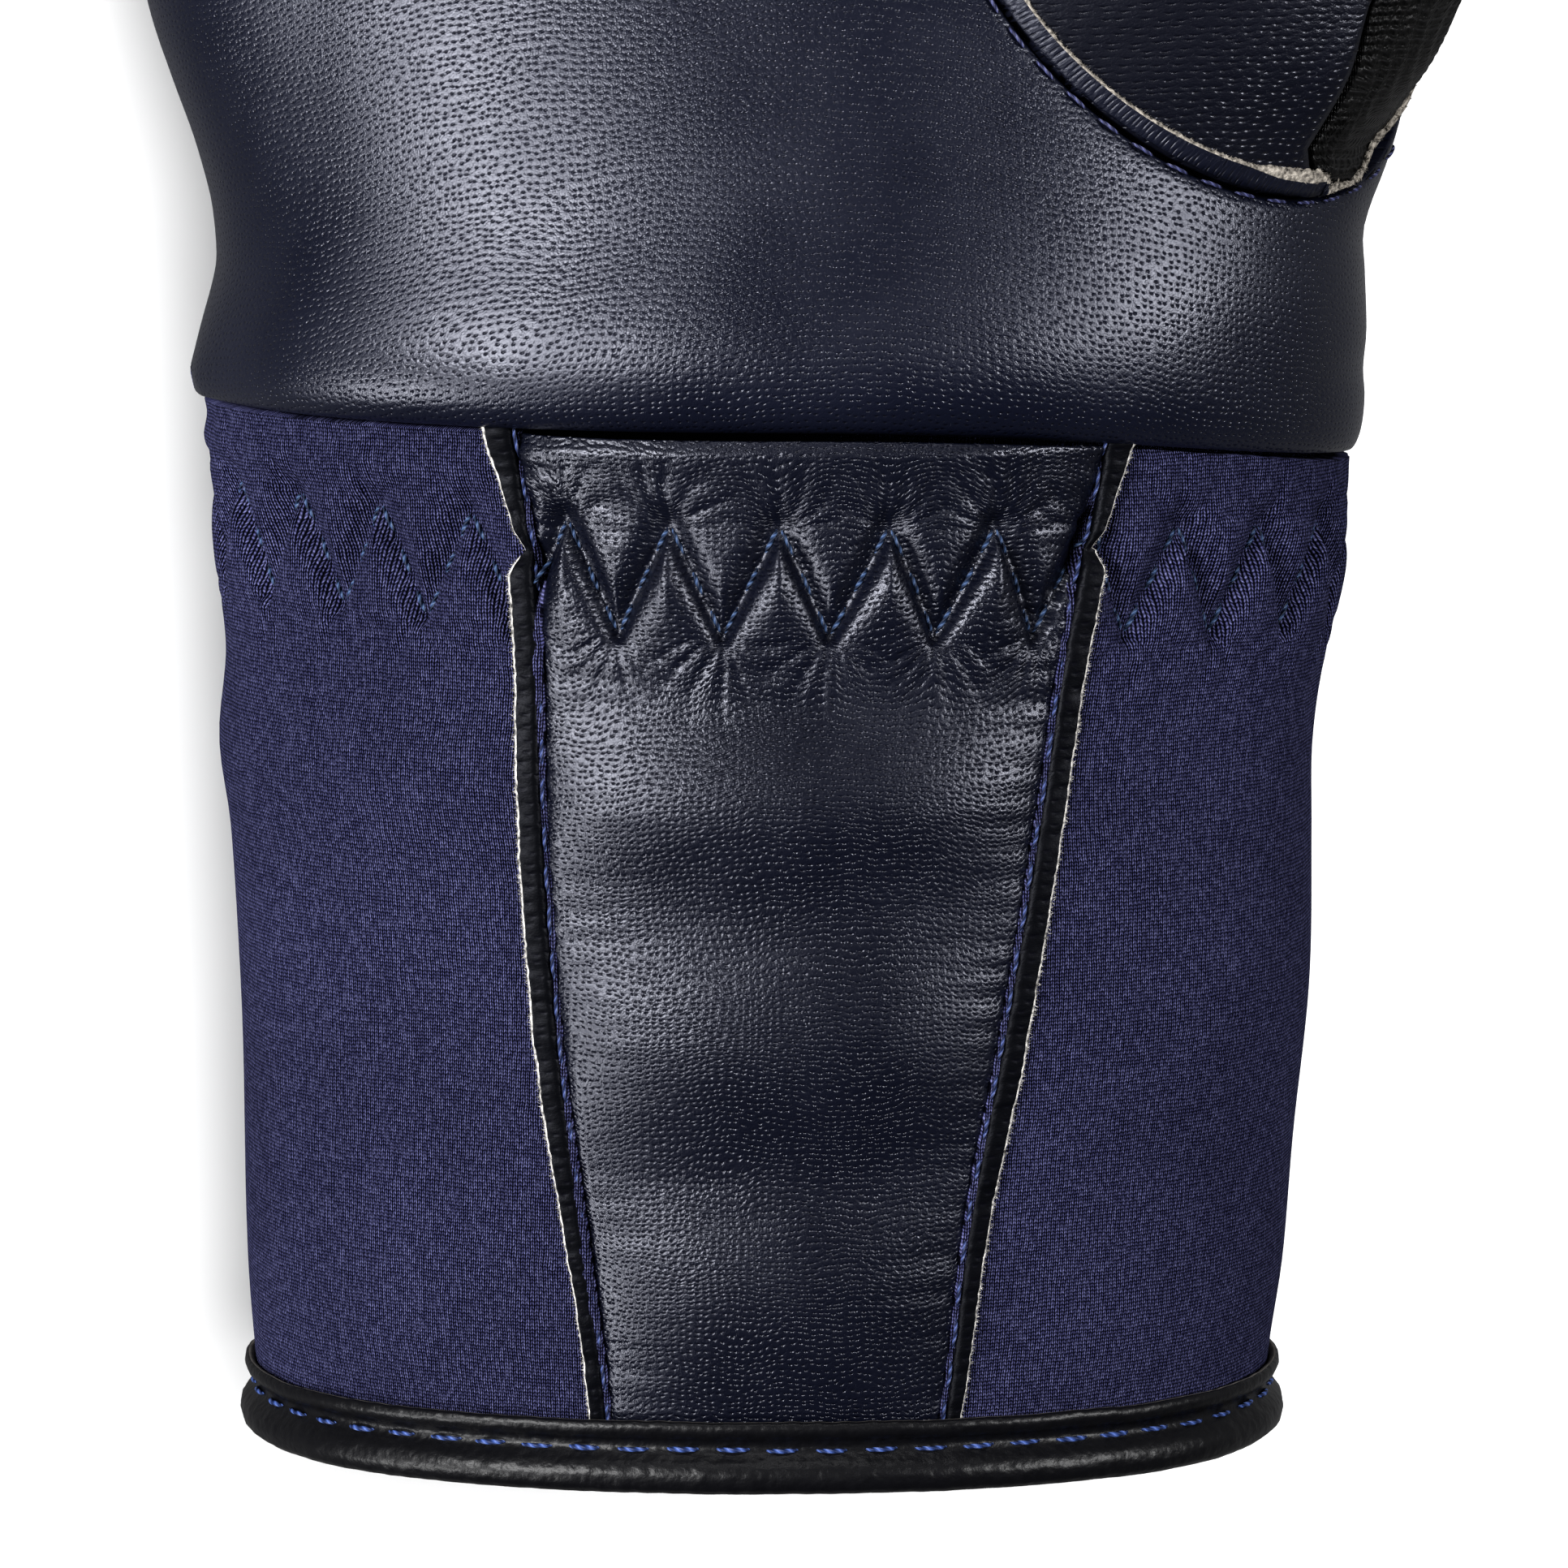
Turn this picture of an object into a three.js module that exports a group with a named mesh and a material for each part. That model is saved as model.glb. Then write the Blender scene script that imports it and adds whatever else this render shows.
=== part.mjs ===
// A right-hand riding glove lying palm up on a table: a leather palm and thumb, a knitted back,
// strips of ribbed knit between the fingers, and a long knitted cuff with a leather inset, an
// elastic gathered by a zigzag seam, and a leather-bound hem. It is hollow from hem to fingertips.
// Millimetres. X runs towards the thumb, Y from the hem to the fingertips, Z up from the table.
import * as THREE from 'three';

// Walls and seams
const WALL = 1.3;
const SEAM_GAP = 0.4;
const FLATTENED = 2.5;
const FINGER_FLATTENED = 1;
const DEGREE = Math.PI / 180;
// Limits where faces meet sharply: the least facing that sets a wall's depth, and a rim's mitre
const LEAST_FACING = 0.75;
const LEAST_MITRE = 0.2;

// Outline of the sleeve from hem to knuckles: the left and right edge seen from above, the
// height of its crest, and how far its underside is held off the table
const SLEEVE = [
  { y: -2, left: -34.8, right: 33.5, top: 42.0, under: 2.2 },
  { y: 4, left: -35.3, right: 34.0, top: 42.2, under: 2.0 },
  { y: 10, left: -35.7, right: 34.7, top: 42.5, under: 0.7 },
  { y: 20, left: -35.8, right: 35.5, top: 43.0, under: 0 },
  { y: 30, left: -35.9, right: 36.4, top: 43.4, under: 0 },
  { y: 40, left: -36.2, right: 36.5, top: 43.3, under: 0 },
  { y: 46, left: -36.9, right: 36.4, top: 43.0, under: 0 },
  { y: 52, left: -36.4, right: 37.0, top: 42.5, under: 0 },
  { y: 58, left: -36.8, right: 38.0, top: 41.8, under: 0 },
  { y: 63, left: -37.1, right: 38.5, top: 41.6, under: 0 },
  { y: 67, left: -37.9, right: 38.7, top: 42.0, under: 0 },
  { y: 70, left: -38.4, right: 38.9, top: 42.6, under: 0 },
  { y: 76, left: -37.4, right: 39.4, top: 43.6, under: 0 },
  { y: 80, left: -37.0, right: 39.6, top: 43.4, under: 0 },
  { y: 85, left: -38.0, right: 40.3, top: 42.6, under: 0 },
  { y: 90, left: -39.5, right: 41.3, top: 41.2, under: 0 },
  { y: 98, left: -41.4, right: 42.4, top: 39.4, under: 0 },
  { y: 110, left: -43.4, right: 43.1, top: 36.0, under: 0 },
  { y: 125, left: -44.7, right: 43.1, top: 31.8, under: 0 },
  { y: 141, left: -44.9, right: 42.6, top: 28.0, under: 0 },
  { y: 157, left: -44.0, right: 42.4, top: 24.5, under: 0 },
];

// Fingers from the little finger to the index: middle of the base and of the tip, and half the
// width and height at both
const FINGERS = [
  { name: 'little', baseX: -34.2, baseY: 151, tipX: -48, tipY: 208, baseWide: 9.8, tipWide: 8.0, baseHigh: 9.6, tipHigh: 8.0, curl: 5 },
  { name: 'ring', baseX: -13.8, baseY: 156, tipX: -19.5, tipY: 228.5, baseWide: 10.5, tipWide: 8.7, baseHigh: 10.3, tipHigh: 8.6, curl: 6 },
  { name: 'middle', baseX: 8.2, baseY: 158, tipX: 8.6, tipY: 237.5, baseWide: 11.0, tipWide: 9.0, baseHigh: 10.7, tipHigh: 8.9, curl: 7 },
  { name: 'index', baseX: 31.0, baseY: 157, tipX: 36.0, tipY: 228.5, baseWide: 11.0, tipWide: 9.0, baseHigh: 10.7, tipHigh: 8.9, curl: 6 },
];
// Where the fingers part, from the outer side of the little finger to that of the index
const PARTINGS = [
  { x: -44.0, y: 149 },
  { x: -24.2, y: 152.5 },
  { x: -3.0, y: 157.5 },
  { x: 19.6, y: 158 },
  { x: 42.2, y: 154.5 },
];
// How far the knit dips between two fingers
const PARTING_DIP = 0.4;
// Rings along a finger: the share of its length where it is slim, and the distance from its tip
// and share of its girth where it closes
const FINGER_RINGS = [
  { along: 0.07 },
  { along: 0.36 },
  { along: 0.66 },
  { fromTip: 9.5, girth: 1.0 },
  { fromTip: 4.6, girth: 0.86 },
  { fromTip: 1.7, girth: 0.56 },
];
const TIP_GIRTH = 0.24;
// Shares of the tip's breadth where the palm side starts beside a plain side, and a side's middle
const TIP_SHARES = { palm: 0.2, side: 0.1 };
const SEAM_ANGLE = 35;

// The seat of the thumb on the side of the palm, an oval in angle around the hand and height
const THUMB_SEAT = { angle: 30, y: 105.1, palmward: 45.5, outward: 42, half: 22.5 };
const THUMB_TWIST = 75;
// Rings of the thumb: middle, the turn of its axis from the fingers, half width and height, and
// how far the ring has left the shape of its seat
const THUMB_RINGS = [
  { x: 44.4, y: 109.0, z: 25.6, turn: 87, wide: 19.0, high: 13.8, share: 0.42 },
  { x: 48.6, y: 116.2, z: 24.8, turn: 72, wide: 15.6, high: 12.8, share: 0.75 },
  { x: 55.0, y: 126.2, z: 24.2, turn: 52, wide: 13.0, high: 12.0, share: 1 },
  { x: 61.2, y: 136.0, z: 24.0, turn: 35, wide: 12.0, high: 11.4, share: 1 },
  { x: 67.0, y: 145.6, z: 23.6, turn: 31, wide: 11.3, high: 10.8, share: 1 },
  { x: 71.5, y: 153.5, z: 23.2, turn: 29, wide: 10.2, high: 9.8, share: 1 },
  { x: 74.2, y: 158.3, z: 23.0, turn: 28, wide: 7.6, high: 7.2, share: 1 },
  { x: 75.4, y: 160.5, z: 22.9, turn: 28, wide: 3.6, high: 3.4, share: 1 },
];
const THUMB_TIP = { x: 75.9, y: 161.4, z: 22.9 };
// The knit gusset covers the first columns round the thumb from its wrist end, and narrows
const GUSSET_COLUMNS = 5;
const GUSSET_TAPER = [1, 1, 1, 0.92, 0.78, 0.55];

// The cuff: the fold where it meets the hand, the zigzag seam over its elastic, and the edges of
// the leather inset, whose seams run from the fold to the hem
const FOLD = { y: 68.8, slant: 2.0, drop: 1.6 };
const ZIGZAG = {
  y: 59.4, slant: 1.5, drop: 0.2, reach: 3.6, teeth: 28, firstPeak: 0.5, groove: -0.9, puff: 0.5, lip: 2.1,
};
const HEM = { y: 0, slant: 0, drop: 1.2 };
const INSET = [
  { y: 0, left: -10.2, right: 10.7 },
  { y: 9, left: -11.0, right: 11.8 },
  { y: 18, left: -12.1, right: 12.8 },
  { y: 29, left: -13.5, right: 14.8 },
  { y: 44, left: -14.5, right: 17.2 },
  { y: 58, left: -14.7, right: 19.2 },
  { y: 63, left: -15.3, right: 20.4 },
  { y: 69, left: -16.3, right: 21.5 },
];
const CUFF_START = 1.1;
// A tooth of the zigzag that would crowd a seam is left out, by share of a tooth
const TOOTH_CLEAR = { first: 0.2, last: 0.05 };
// The strip beside a seam of the inset, which rises over the puff of the zigzag
const FLANGE = {
  near: 0.3, far: 1.8, lift: 0.35, thick: 0.8, start: 5.2, end: 67.4, steps: 16, fullPuff: 6, noPuff: 9,
};
// Around the thumb it runs between two columns of the seat, and is turned in behind the thumb
const THUMB_FLANGE = { near: 0.4, far: 1.8, lift: 0.65, thick: 0.8, first: 11, last: 26 };

// Section of the hem binding: distance out from the cuff and height from the hem
const BINDING = [
  { out: 0.4, y: 0.8 },
  { out: -1.8, y: 0.8 },
  { out: -1.8, y: 3.6 },
  { out: -2.8, y: 3.6 },
  { out: -2.7, y: 0.7 },
  { out: -1.8, y: 0 },
  { out: 0.2, y: 0 },
  { out: 1.3, y: 0.4 },
  { out: 1.7, y: 1.5 },
  { out: 1.4, y: 2.7 },
  { out: 0.8, y: 3.3 },
  { out: 1.1, y: 4.0 },
  { out: 0.8, y: 4.5 },
  { out: 0.4, y: 4.3 },
];
const BINDING_STATIONS = 40;

// The palm's rolled lower edge: distance from the fold, and how far it stands out
const PALM_ROLL = [
  { rise: 0, out: 0.2 },
  { rise: 0.45, out: 1.3 },
  { rise: 2.0, out: 2.2 },
  { rise: 5.5, out: 1.9 },
];
const ROLL_FADES_AT = 82;
// The roll runs on a little under the sides of the hand
const ROLL_UNDER = 0.35;
const HAND_ROWS = [80, 86, 93, 101, 110, 119, 127, 133.5, 139.5, 145];
const KNUCKLE_ROW = PALM_ROLL.length + HAND_ROWS.length;
// How far each of the last rows before the knuckles has taken the shape of the fingers
const KNUCKLE_SHARES = { [KNUCKLE_ROW - 2]: 0.2, [KNUCKLE_ROW - 1]: 0.55, [KNUCKLE_ROW]: 1 };
// Columns across the palm: two that wrap each side, and four for each finger
const WRAP = 2;
const PER_FINGER = 4;
const LAST_COLUMN = 2 * WRAP + FINGERS.length * PER_FINGER;
// Angles of the first and last column that lies across the palm, and of the seams to the back
const ACROSS_PALM = { first: 166, last: 14 };
const RIGHT_SEAM = -32;
const LEFT_SEAM = 208;
// Near the fold the knit of the back comes up to the side of the hand
const LEFT_SEAM_AT_FOLD = 172;
const LEFT_SEAM_RISE = { from: 71, to: 79 };
// Rows and columns of the palm that the thumb's seat takes up
const SEAT_BLOCK = { column: 16, row: 7.5, halfColumns: 3, halfRows: 2.5 };

const COLOURS = {
  leather: { color: 0x1d2030, roughness: 0.45, metalness: 0 },
  knit: { color: 0x23244a, roughness: 0.9, metalness: 0 },
  rib: { color: 0x121216, roughness: 0.95, metalness: 0 },
  binding: { color: 0x15161b, roughness: 0.5, metalness: 0 },
};

// A named column of a table as a smooth curve along another
function column(table, key, position, along = 'y') {
  const last = table.length - 1;
  if (position <= table[0][along]) return table[0][key];
  if (position >= table[last][along]) return table[last][key];
  let i = 0;
  while (position > table[i + 1][along]) i += 1;
  const slope = (a, b) => (table[b][key] - table[a][key]) / (table[b][along] - table[a][along]);
  const step = table[i + 1][along] - table[i][along];
  const startSlope = slope(Math.max(i - 1, 0), i + 1) * step;
  const endSlope = slope(i, Math.min(i + 2, last)) * step;
  const t = (position - table[i][along]) / step;
  const t2 = t * t;
  const t3 = t2 * t;
  return (2 * t3 - 3 * t2 + 1) * table[i][key] + (t3 - 2 * t2 + t) * startSlope
    + (3 * t2 - 2 * t3) * table[i + 1][key] + (t3 - t2) * endSlope;
}

// A point on the sleeve at an angle in degrees, from the thumb side over the crest
function sleevePoint(angle, y, out = 0) {
  const left = column(SLEEVE, 'left', y) - out;
  const right = column(SLEEVE, 'right', y) + out;
  const top = column(SLEEVE, 'top', y) + out;
  const under = column(SLEEVE, 'under', y) - out;
  const middle = (top - out - FLATTENED) / 2;
  const z = middle + (top - middle) * Math.sin(angle * DEGREE);
  const x = (left + right) / 2 + ((right - left) / 2) * Math.cos(angle * DEGREE);
  return new THREE.Vector3(x, y, Math.max(z, under, 0));
}

// The angle on the crest side of the sleeve that lies at x
function angleAt(x, y) {
  const left = column(SLEEVE, 'left', y);
  const right = column(SLEEVE, 'right', y);
  return Math.acos((2 * x - left - right) / (right - left)) / DEGREE;
}

// Lines around the wrist climb towards the little finger, and drop at both sides of the crest
function slanted(line, angle) {
  const across = Math.cos(angle * DEGREE);
  return line.y - line.slant * across * Math.abs(across) - line.drop * across * across;
}

// A skin of named points and faces. Each face belongs to a panel, and panels share their seams.
class Skin {
  constructor() {
    this.points = [];
    this.names = new Map();
    this.faces = [];
    this.fixedNormals = new Map();
  }

  point(name, makePosition) {
    if (!this.names.has(name)) {
      this.names.set(name, this.points.length);
      this.points.push(makePosition());
    }
    return this.names.get(name);
  }

  face(panel, ...corners) {
    const ring = corners.filter((corner, i) => corner !== corners[(i + 1) % corners.length]);
    if (ring.length > 2) this.faces.push({ panel, corners: ring });
  }

  faceNormal(corners) {
    const [a, b, c, d = corners[0]] = corners.map((i) => this.points[i]);
    const from = d === corners[0] ? a : d;
    const across = new THREE.Vector3().subVectors(c, a);
    const along = new THREE.Vector3().subVectors(from, b);
    return across.cross(along);
  }

  normals() {
    const sums = this.points.map(() => new THREE.Vector3());
    for (const { corners } of this.faces) {
      const normal = this.faceNormal(corners);
      for (const corner of corners) sums[corner].add(normal);
    }
    return sums.map((sum, i) => (this.fixedNormals.get(i) ?? sum).clone().normalize());
  }

  // How far a point moves in along its normal so that all its faces move in by the wall
  depths(normals) {
    const facing = this.points.map(() => 1);
    for (const { corners } of this.faces) {
      const normal = this.faceNormal(corners).normalize();
      for (const corner of corners) facing[corner] = Math.min(facing[corner], normals[corner].dot(normal));
    }
    return facing.map((least) => WALL / Math.max(LEAST_FACING, least));
  }

  // The solid of one panel: its faces, the same faces moved in by the wall, and the rim between
  panelGeometry(panel) {
    const normals = this.normals();
    const depths = this.depths(normals);
    const faces = this.faces.filter((face) => face.panel === panel);
    const edges = new Map();
    const used = new Set();
    for (const { corners } of faces) {
      const normal = this.faceNormal(corners).normalize();
      corners.forEach((from, i) => {
        const to = corners[(i + 1) % corners.length];
        const along = new THREE.Vector3().subVectors(this.points[to], this.points[from]).normalize();
        edges.set(`${from}>${to}`, { from, to, inward: normal.clone().cross(along) });
        used.add(from);
      });
    }
    const rim = [...edges.values()].filter(({ from, to }) => !edges.has(`${to}>${from}`));
    const rimInward = new Map();
    for (const { from, to, inward } of rim) {
      for (const end of [from, to]) rimInward.set(end, [...(rimInward.get(end) ?? []), inward]);
    }
    const order = [...used];
    const place = new Map(order.map((corner, i) => [corner, i]));
    const outer = order.map((corner) => {
      const position = this.points[corner].clone();
      if (rimInward.has(corner)) {
        const sides = rimInward.get(corner);
        const inward = sides.reduce((sum, side) => sum.add(side), new THREE.Vector3()).normalize();
        const least = Math.min(...sides.map((side) => inward.dot(side)));
        position.addScaledVector(inward, SEAM_GAP / 2 / Math.max(least, LEAST_MITRE));
      }
      return position;
    });
    const inner = order.map((corner, i) => outer[i].clone().addScaledVector(normals[corner], -depths[corner]));
    const index = [];
    const count = order.length;
    for (const { corners } of faces) {
      const at = corners.map((corner) => place.get(corner));
      for (let i = 1; i + 1 < at.length; i += 1) {
        index.push(at[0], at[i], at[i + 1]);
        index.push(at[0] + count, at[i + 1] + count, at[i] + count);
      }
    }
    for (const { from: a, to: b } of rim) {
      const from = place.get(a);
      const to = place.get(b);
      if (a < b) index.push(to, from, from + count, to, from + count, to + count);
      else index.push(to, from, to + count, from, from + count, to + count);
    }
    return indexedGeometry([...outer, ...inner], index);
  }
}

function indexedGeometry(points, index) {
  const geometry = new THREE.BufferGeometry();
  geometry.setAttribute('position', new THREE.Float32BufferAttribute(points.flatMap((p) => p.toArray()), 3));
  geometry.setIndex(index);
  geometry.computeVertexNormals();
  return geometry;
}

// A solid through sections of equally many points, joined into a ring or closed by flat ends
function loftGeometry(sections, ring) {
  const sides = sections[0].length;
  const index = [];
  const spans = ring ? sections.length : sections.length - 1;
  for (let s = 0; s < spans; s += 1) {
    const here = s * sides;
    const there = ((s + 1) % sections.length) * sides;
    for (let i = 0; i < sides; i += 1) {
      const j = (i + 1) % sides;
      index.push(here + i, here + j, there + j, here + i, there + j, there + i);
    }
  }
  if (!ring) {
    const last = (sections.length - 1) * sides;
    for (let i = 1; i + 1 < sides; i += 1) {
      index.push(0, i + 1, i, last, last + i, last + i + 1);
    }
  }
  return indexedGeometry(sections.flat(), index);
}

function mesh(name, geometry, look) {
  const made = new THREE.Mesh(geometry, new THREE.MeshStandardMaterial(COLOURS[look]));
  made.name = name;
  return made;
}

// The hand

const lerp = THREE.MathUtils.lerp;
const smooth = THREE.MathUtils.smoothstep;

function leftSeam(y) {
  return lerp(LEFT_SEAM_AT_FOLD, LEFT_SEAM, smooth(y, LEFT_SEAM_RISE.from, LEFT_SEAM_RISE.to));
}

// Angle of a palm column before the thumb's seat spreads it: even across the fingers
function columnAngle(index, y) {
  if (index < WRAP) return lerp(leftSeam(y), ACROSS_PALM.first, index / WRAP);
  if (index > LAST_COLUMN - WRAP) {
    return lerp(ACROSS_PALM.last, RIGHT_SEAM, (index - LAST_COLUMN + WRAP) / WRAP);
  }
  const finger = Math.min(Math.floor((index - WRAP) / PER_FINGER), FINGERS.length - 1);
  const share = (index - WRAP) / PER_FINGER - finger;
  const x = lerp(PARTINGS[finger].x, PARTINGS[finger + 1].x, share);
  const middle = (PARTINGS[0].x + PARTINGS[4].x) / 2;
  const reach = ((PARTINGS[4].x - PARTINGS[0].x) / 2) / Math.cos(ACROSS_PALM.last * DEGREE);
  return Math.acos((x - middle) / reach) / DEGREE;
}

function rowHeight(row) {
  const rows = [...PALM_ROLL.map(({ rise }) => FOLD.y + rise), ...HAND_ROWS, PARTINGS[2].y];
  const i = Math.min(Math.floor(row), rows.length - 2);
  return lerp(rows[i], rows[i + 1], row - i);
}

// The palm's columns and rows around the thumb's seat are pushed out to its oval
function spreadAroundSeat(index, row) {
  const angle = columnAngle(index, rowHeight(row));
  const y = rowHeight(row);
  const p = (index - SEAT_BLOCK.column) / SEAT_BLOCK.halfColumns;
  const q = (row - SEAT_BLOCK.row) / SEAT_BLOCK.halfRows;
  const reach = Math.max(Math.abs(p), Math.abs(q));
  const weight = index === LAST_COLUMN ? 0 : 1 - smooth(reach, 1, 2);
  if (weight === 0 || reach === 0) return { angle, y };
  const edge = seatEdge(p / reach, q / reach);
  const edgeColumn = SEAT_BLOCK.column + (p / reach) * SEAT_BLOCK.halfColumns;
  const edgeRow = SEAT_BLOCK.row + (q / reach) * SEAT_BLOCK.halfRows;
  const plainY = rowHeight(edgeRow);
  return {
    angle: angle + weight * (edge.angle - columnAngle(edgeColumn, plainY)),
    y: y + weight * (edge.y - plainY),
  };
}

// The point of the oval seat that stands for a point on the edge of a square
function seatEdge(p, q) {
  const right = p * Math.sqrt(1 - (q * q) / 2);
  const up = q * Math.sqrt(1 - (p * p) / 2);
  const reach = right > 0 ? THUMB_SEAT.outward : THUMB_SEAT.palmward;
  return {
    angle: THUMB_SEAT.angle - reach * right,
    y: THUMB_SEAT.y + THUMB_SEAT.half * up,
    turn: Math.atan2(up, right) / DEGREE,
  };
}

function rollOut(angle, row, y) {
  const share = THREE.MathUtils.clamp((Math.sin(angle * DEGREE) + ROLL_UNDER) / (1 + ROLL_UNDER), 0, 1);
  if (row < PALM_ROLL.length) return PALM_ROLL[row].out * share;
  const last = PALM_ROLL[PALM_ROLL.length - 1];
  return last.out * share * (1 - smooth(y, FOLD.y + last.rise, ROLL_FADES_AT));
}

// A point of the hand between the fold and the knuckles
function handPoint(angle, row, y) {
  const fade = 1 - smooth(y, FOLD.y, ROLL_FADES_AT);
  const slope = fade * (slanted(FOLD, angle) - FOLD.y);
  return sleevePoint(angle, y + slope, rollOut(angle, row, y));
}

// A point on the ring of a finger, at an angle in degrees from its thumb side over its palm side
function fingerPoint(finger, angle, y, girth, x = null) {
  const along = (y - finger.baseY) / (finger.tipY - finger.baseY);
  const wide = lerp(finger.baseWide, finger.tipWide, along) * girth;
  const full = lerp(finger.baseHigh, finger.tipHigh, along);
  const rise = finger.curl * Math.max(along, 0) ** 2;
  const middle = lerp(finger.baseX, finger.tipX, along);
  const lean = (finger.tipX - finger.baseX) / (finger.tipY - finger.baseY);
  const across = Math.cos(angle * DEGREE) * wide;
  const z = rise + full - FINGER_FLATTENED + full * girth * Math.sin(angle * DEGREE);
  return new THREE.Vector3(x ?? middle + across, y - across * lean, Math.max(z, rise));
}

// The row of knuckles, where the palm divides into fingers
function knucklePoint(finger, angle) {
  const at = FINGERS[finger];
  const share = (1 - Math.cos(angle * DEGREE) / Math.cos(SEAM_ANGLE * DEGREE)) / 2;
  const inside = Math.min(Math.max(1 - share, 0), 1);
  const ends = [PARTINGS[finger], PARTINGS[finger + 1]];
  const y = lerp(ends[0].y, ends[1].y, inside);
  const onEdge = Math.abs(Math.cos(angle * DEGREE)) > Math.cos((SEAM_ANGLE + 1) * DEGREE);
  const outside = (finger === 0 && inside < 0.5) || (finger === FINGERS.length - 1 && inside > 0.5);
  const x = onEdge && outside ? null : lerp(ends[0].x, ends[1].x, inside);
  return fingerPoint(at, angle, y, 1, x).setY(y);
}

// Palm columns of a finger run over its palm side, and the wraps down its outer side
function palmAngleOnFinger(index) {
  const step = (180 - 2 * SEAM_ANGLE) / PER_FINGER;
  if (index < WRAP) return { finger: 0, angle: 180 + SEAM_ANGLE * (1 - index) };
  if (index > LAST_COLUMN - WRAP) {
    return { finger: FINGERS.length - 1, angle: -SEAM_ANGLE * (index - LAST_COLUMN + 1) };
  }
  const finger = Math.min(Math.floor((index - WRAP) / PER_FINGER), FINGERS.length - 1);
  return { finger, angle: 180 - SEAM_ANGLE - step * (index - WRAP - finger * PER_FINGER) };
}

function palmPoint(index, row) {
  const { angle, y } = spreadAroundSeat(index, row);
  const plain = handPoint(angle, row, y);
  const share = KNUCKLE_SHARES[row] ?? 0;
  if (share === 0) return plain;
  const at = palmAngleOnFinger(index);
  const knuckle = knucklePoint(at.finger, at.angle);
  knuckle.y = lerp(y, knuckle.y, share);
  return plain.lerp(knuckle, share);
}

// The back has four columns for each finger, from its little-finger seam to its thumb seam, and
// they crowd a little towards the seams
const BACK_COLUMNS = FINGERS.length * PER_FINGER;
const BACK_CROWDING = 0.35;

function backAngleOnFinger(index) {
  const step = (180 - 2 * SEAM_ANGLE) / PER_FINGER;
  const finger = Math.min(Math.floor(index / PER_FINGER), FINGERS.length - 1);
  return { finger, angle: 180 + SEAM_ANGLE + step * (index - finger * PER_FINGER) };
}

function backPoint(index, row) {
  const y = rowHeight(row);
  const from = leftSeam(y);
  const to = 360 + RIGHT_SEAM;
  const share = (1 - Math.cos((Math.PI * index) / BACK_COLUMNS)) / 2;
  const even = lerp(from, to, lerp(index / BACK_COLUMNS, share, BACK_CROWDING));
  const plain = handPoint(even, row, y);
  const blend = KNUCKLE_SHARES[row] ?? 0;
  if (blend === 0) return plain;
  const at = backAngleOnFinger(index);
  const knuckle = knucklePoint(at.finger, at.angle);
  knuckle.y = lerp(y, knuckle.y, blend);
  return plain.lerp(knuckle, blend);
}

function palmVertex(skin, index, row) {
  return skin.point(`palm ${index} ${row}`, () => palmPoint(index, row));
}

function backVertex(skin, index, row) {
  if (index === 0) return palmVertex(skin, 0, row);
  if (index === BACK_COLUMNS) return palmVertex(skin, LAST_COLUMN, row);
  return skin.point(`back ${index} ${row}`, () => backPoint(index, row));
}

function insideSeat(index, row) {
  const columns = Math.abs(index + 0.5 - SEAT_BLOCK.column) < SEAT_BLOCK.halfColumns;
  return columns && Math.abs(row + 0.5 - SEAT_BLOCK.row) < SEAT_BLOCK.halfRows;
}

function addHand(skin) {
  for (let row = 0; row < KNUCKLE_ROW; row += 1) {
    for (let index = 0; index < LAST_COLUMN; index += 1) {
      if (!insideSeat(index, row)) {
        skin.face('palm_panel', palmVertex(skin, index, row), palmVertex(skin, index + 1, row),
          palmVertex(skin, index + 1, row + 1), palmVertex(skin, index, row + 1));
      }
    }
    for (let index = 0; index < BACK_COLUMNS; index += 1) {
      skin.face('back_panel', backVertex(skin, index + 1, row), backVertex(skin, index, row),
        backVertex(skin, index, row + 1), backVertex(skin, index + 1, row + 1));
    }
  }
}

// Around a finger: five points on its palm side, one on each side, and five on its back.
// On a side with a strip of ribbed knit the strip ends in a point before the fingertip.
const LAST_RING = FINGER_RINGS.length - 1;

function ringY(finger, ring) {
  const at = FINGER_RINGS[ring];
  if (at.along !== undefined) return lerp(finger.baseY, finger.tipY, at.along);
  return finger.tipY - at.fromTip;
}

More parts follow.
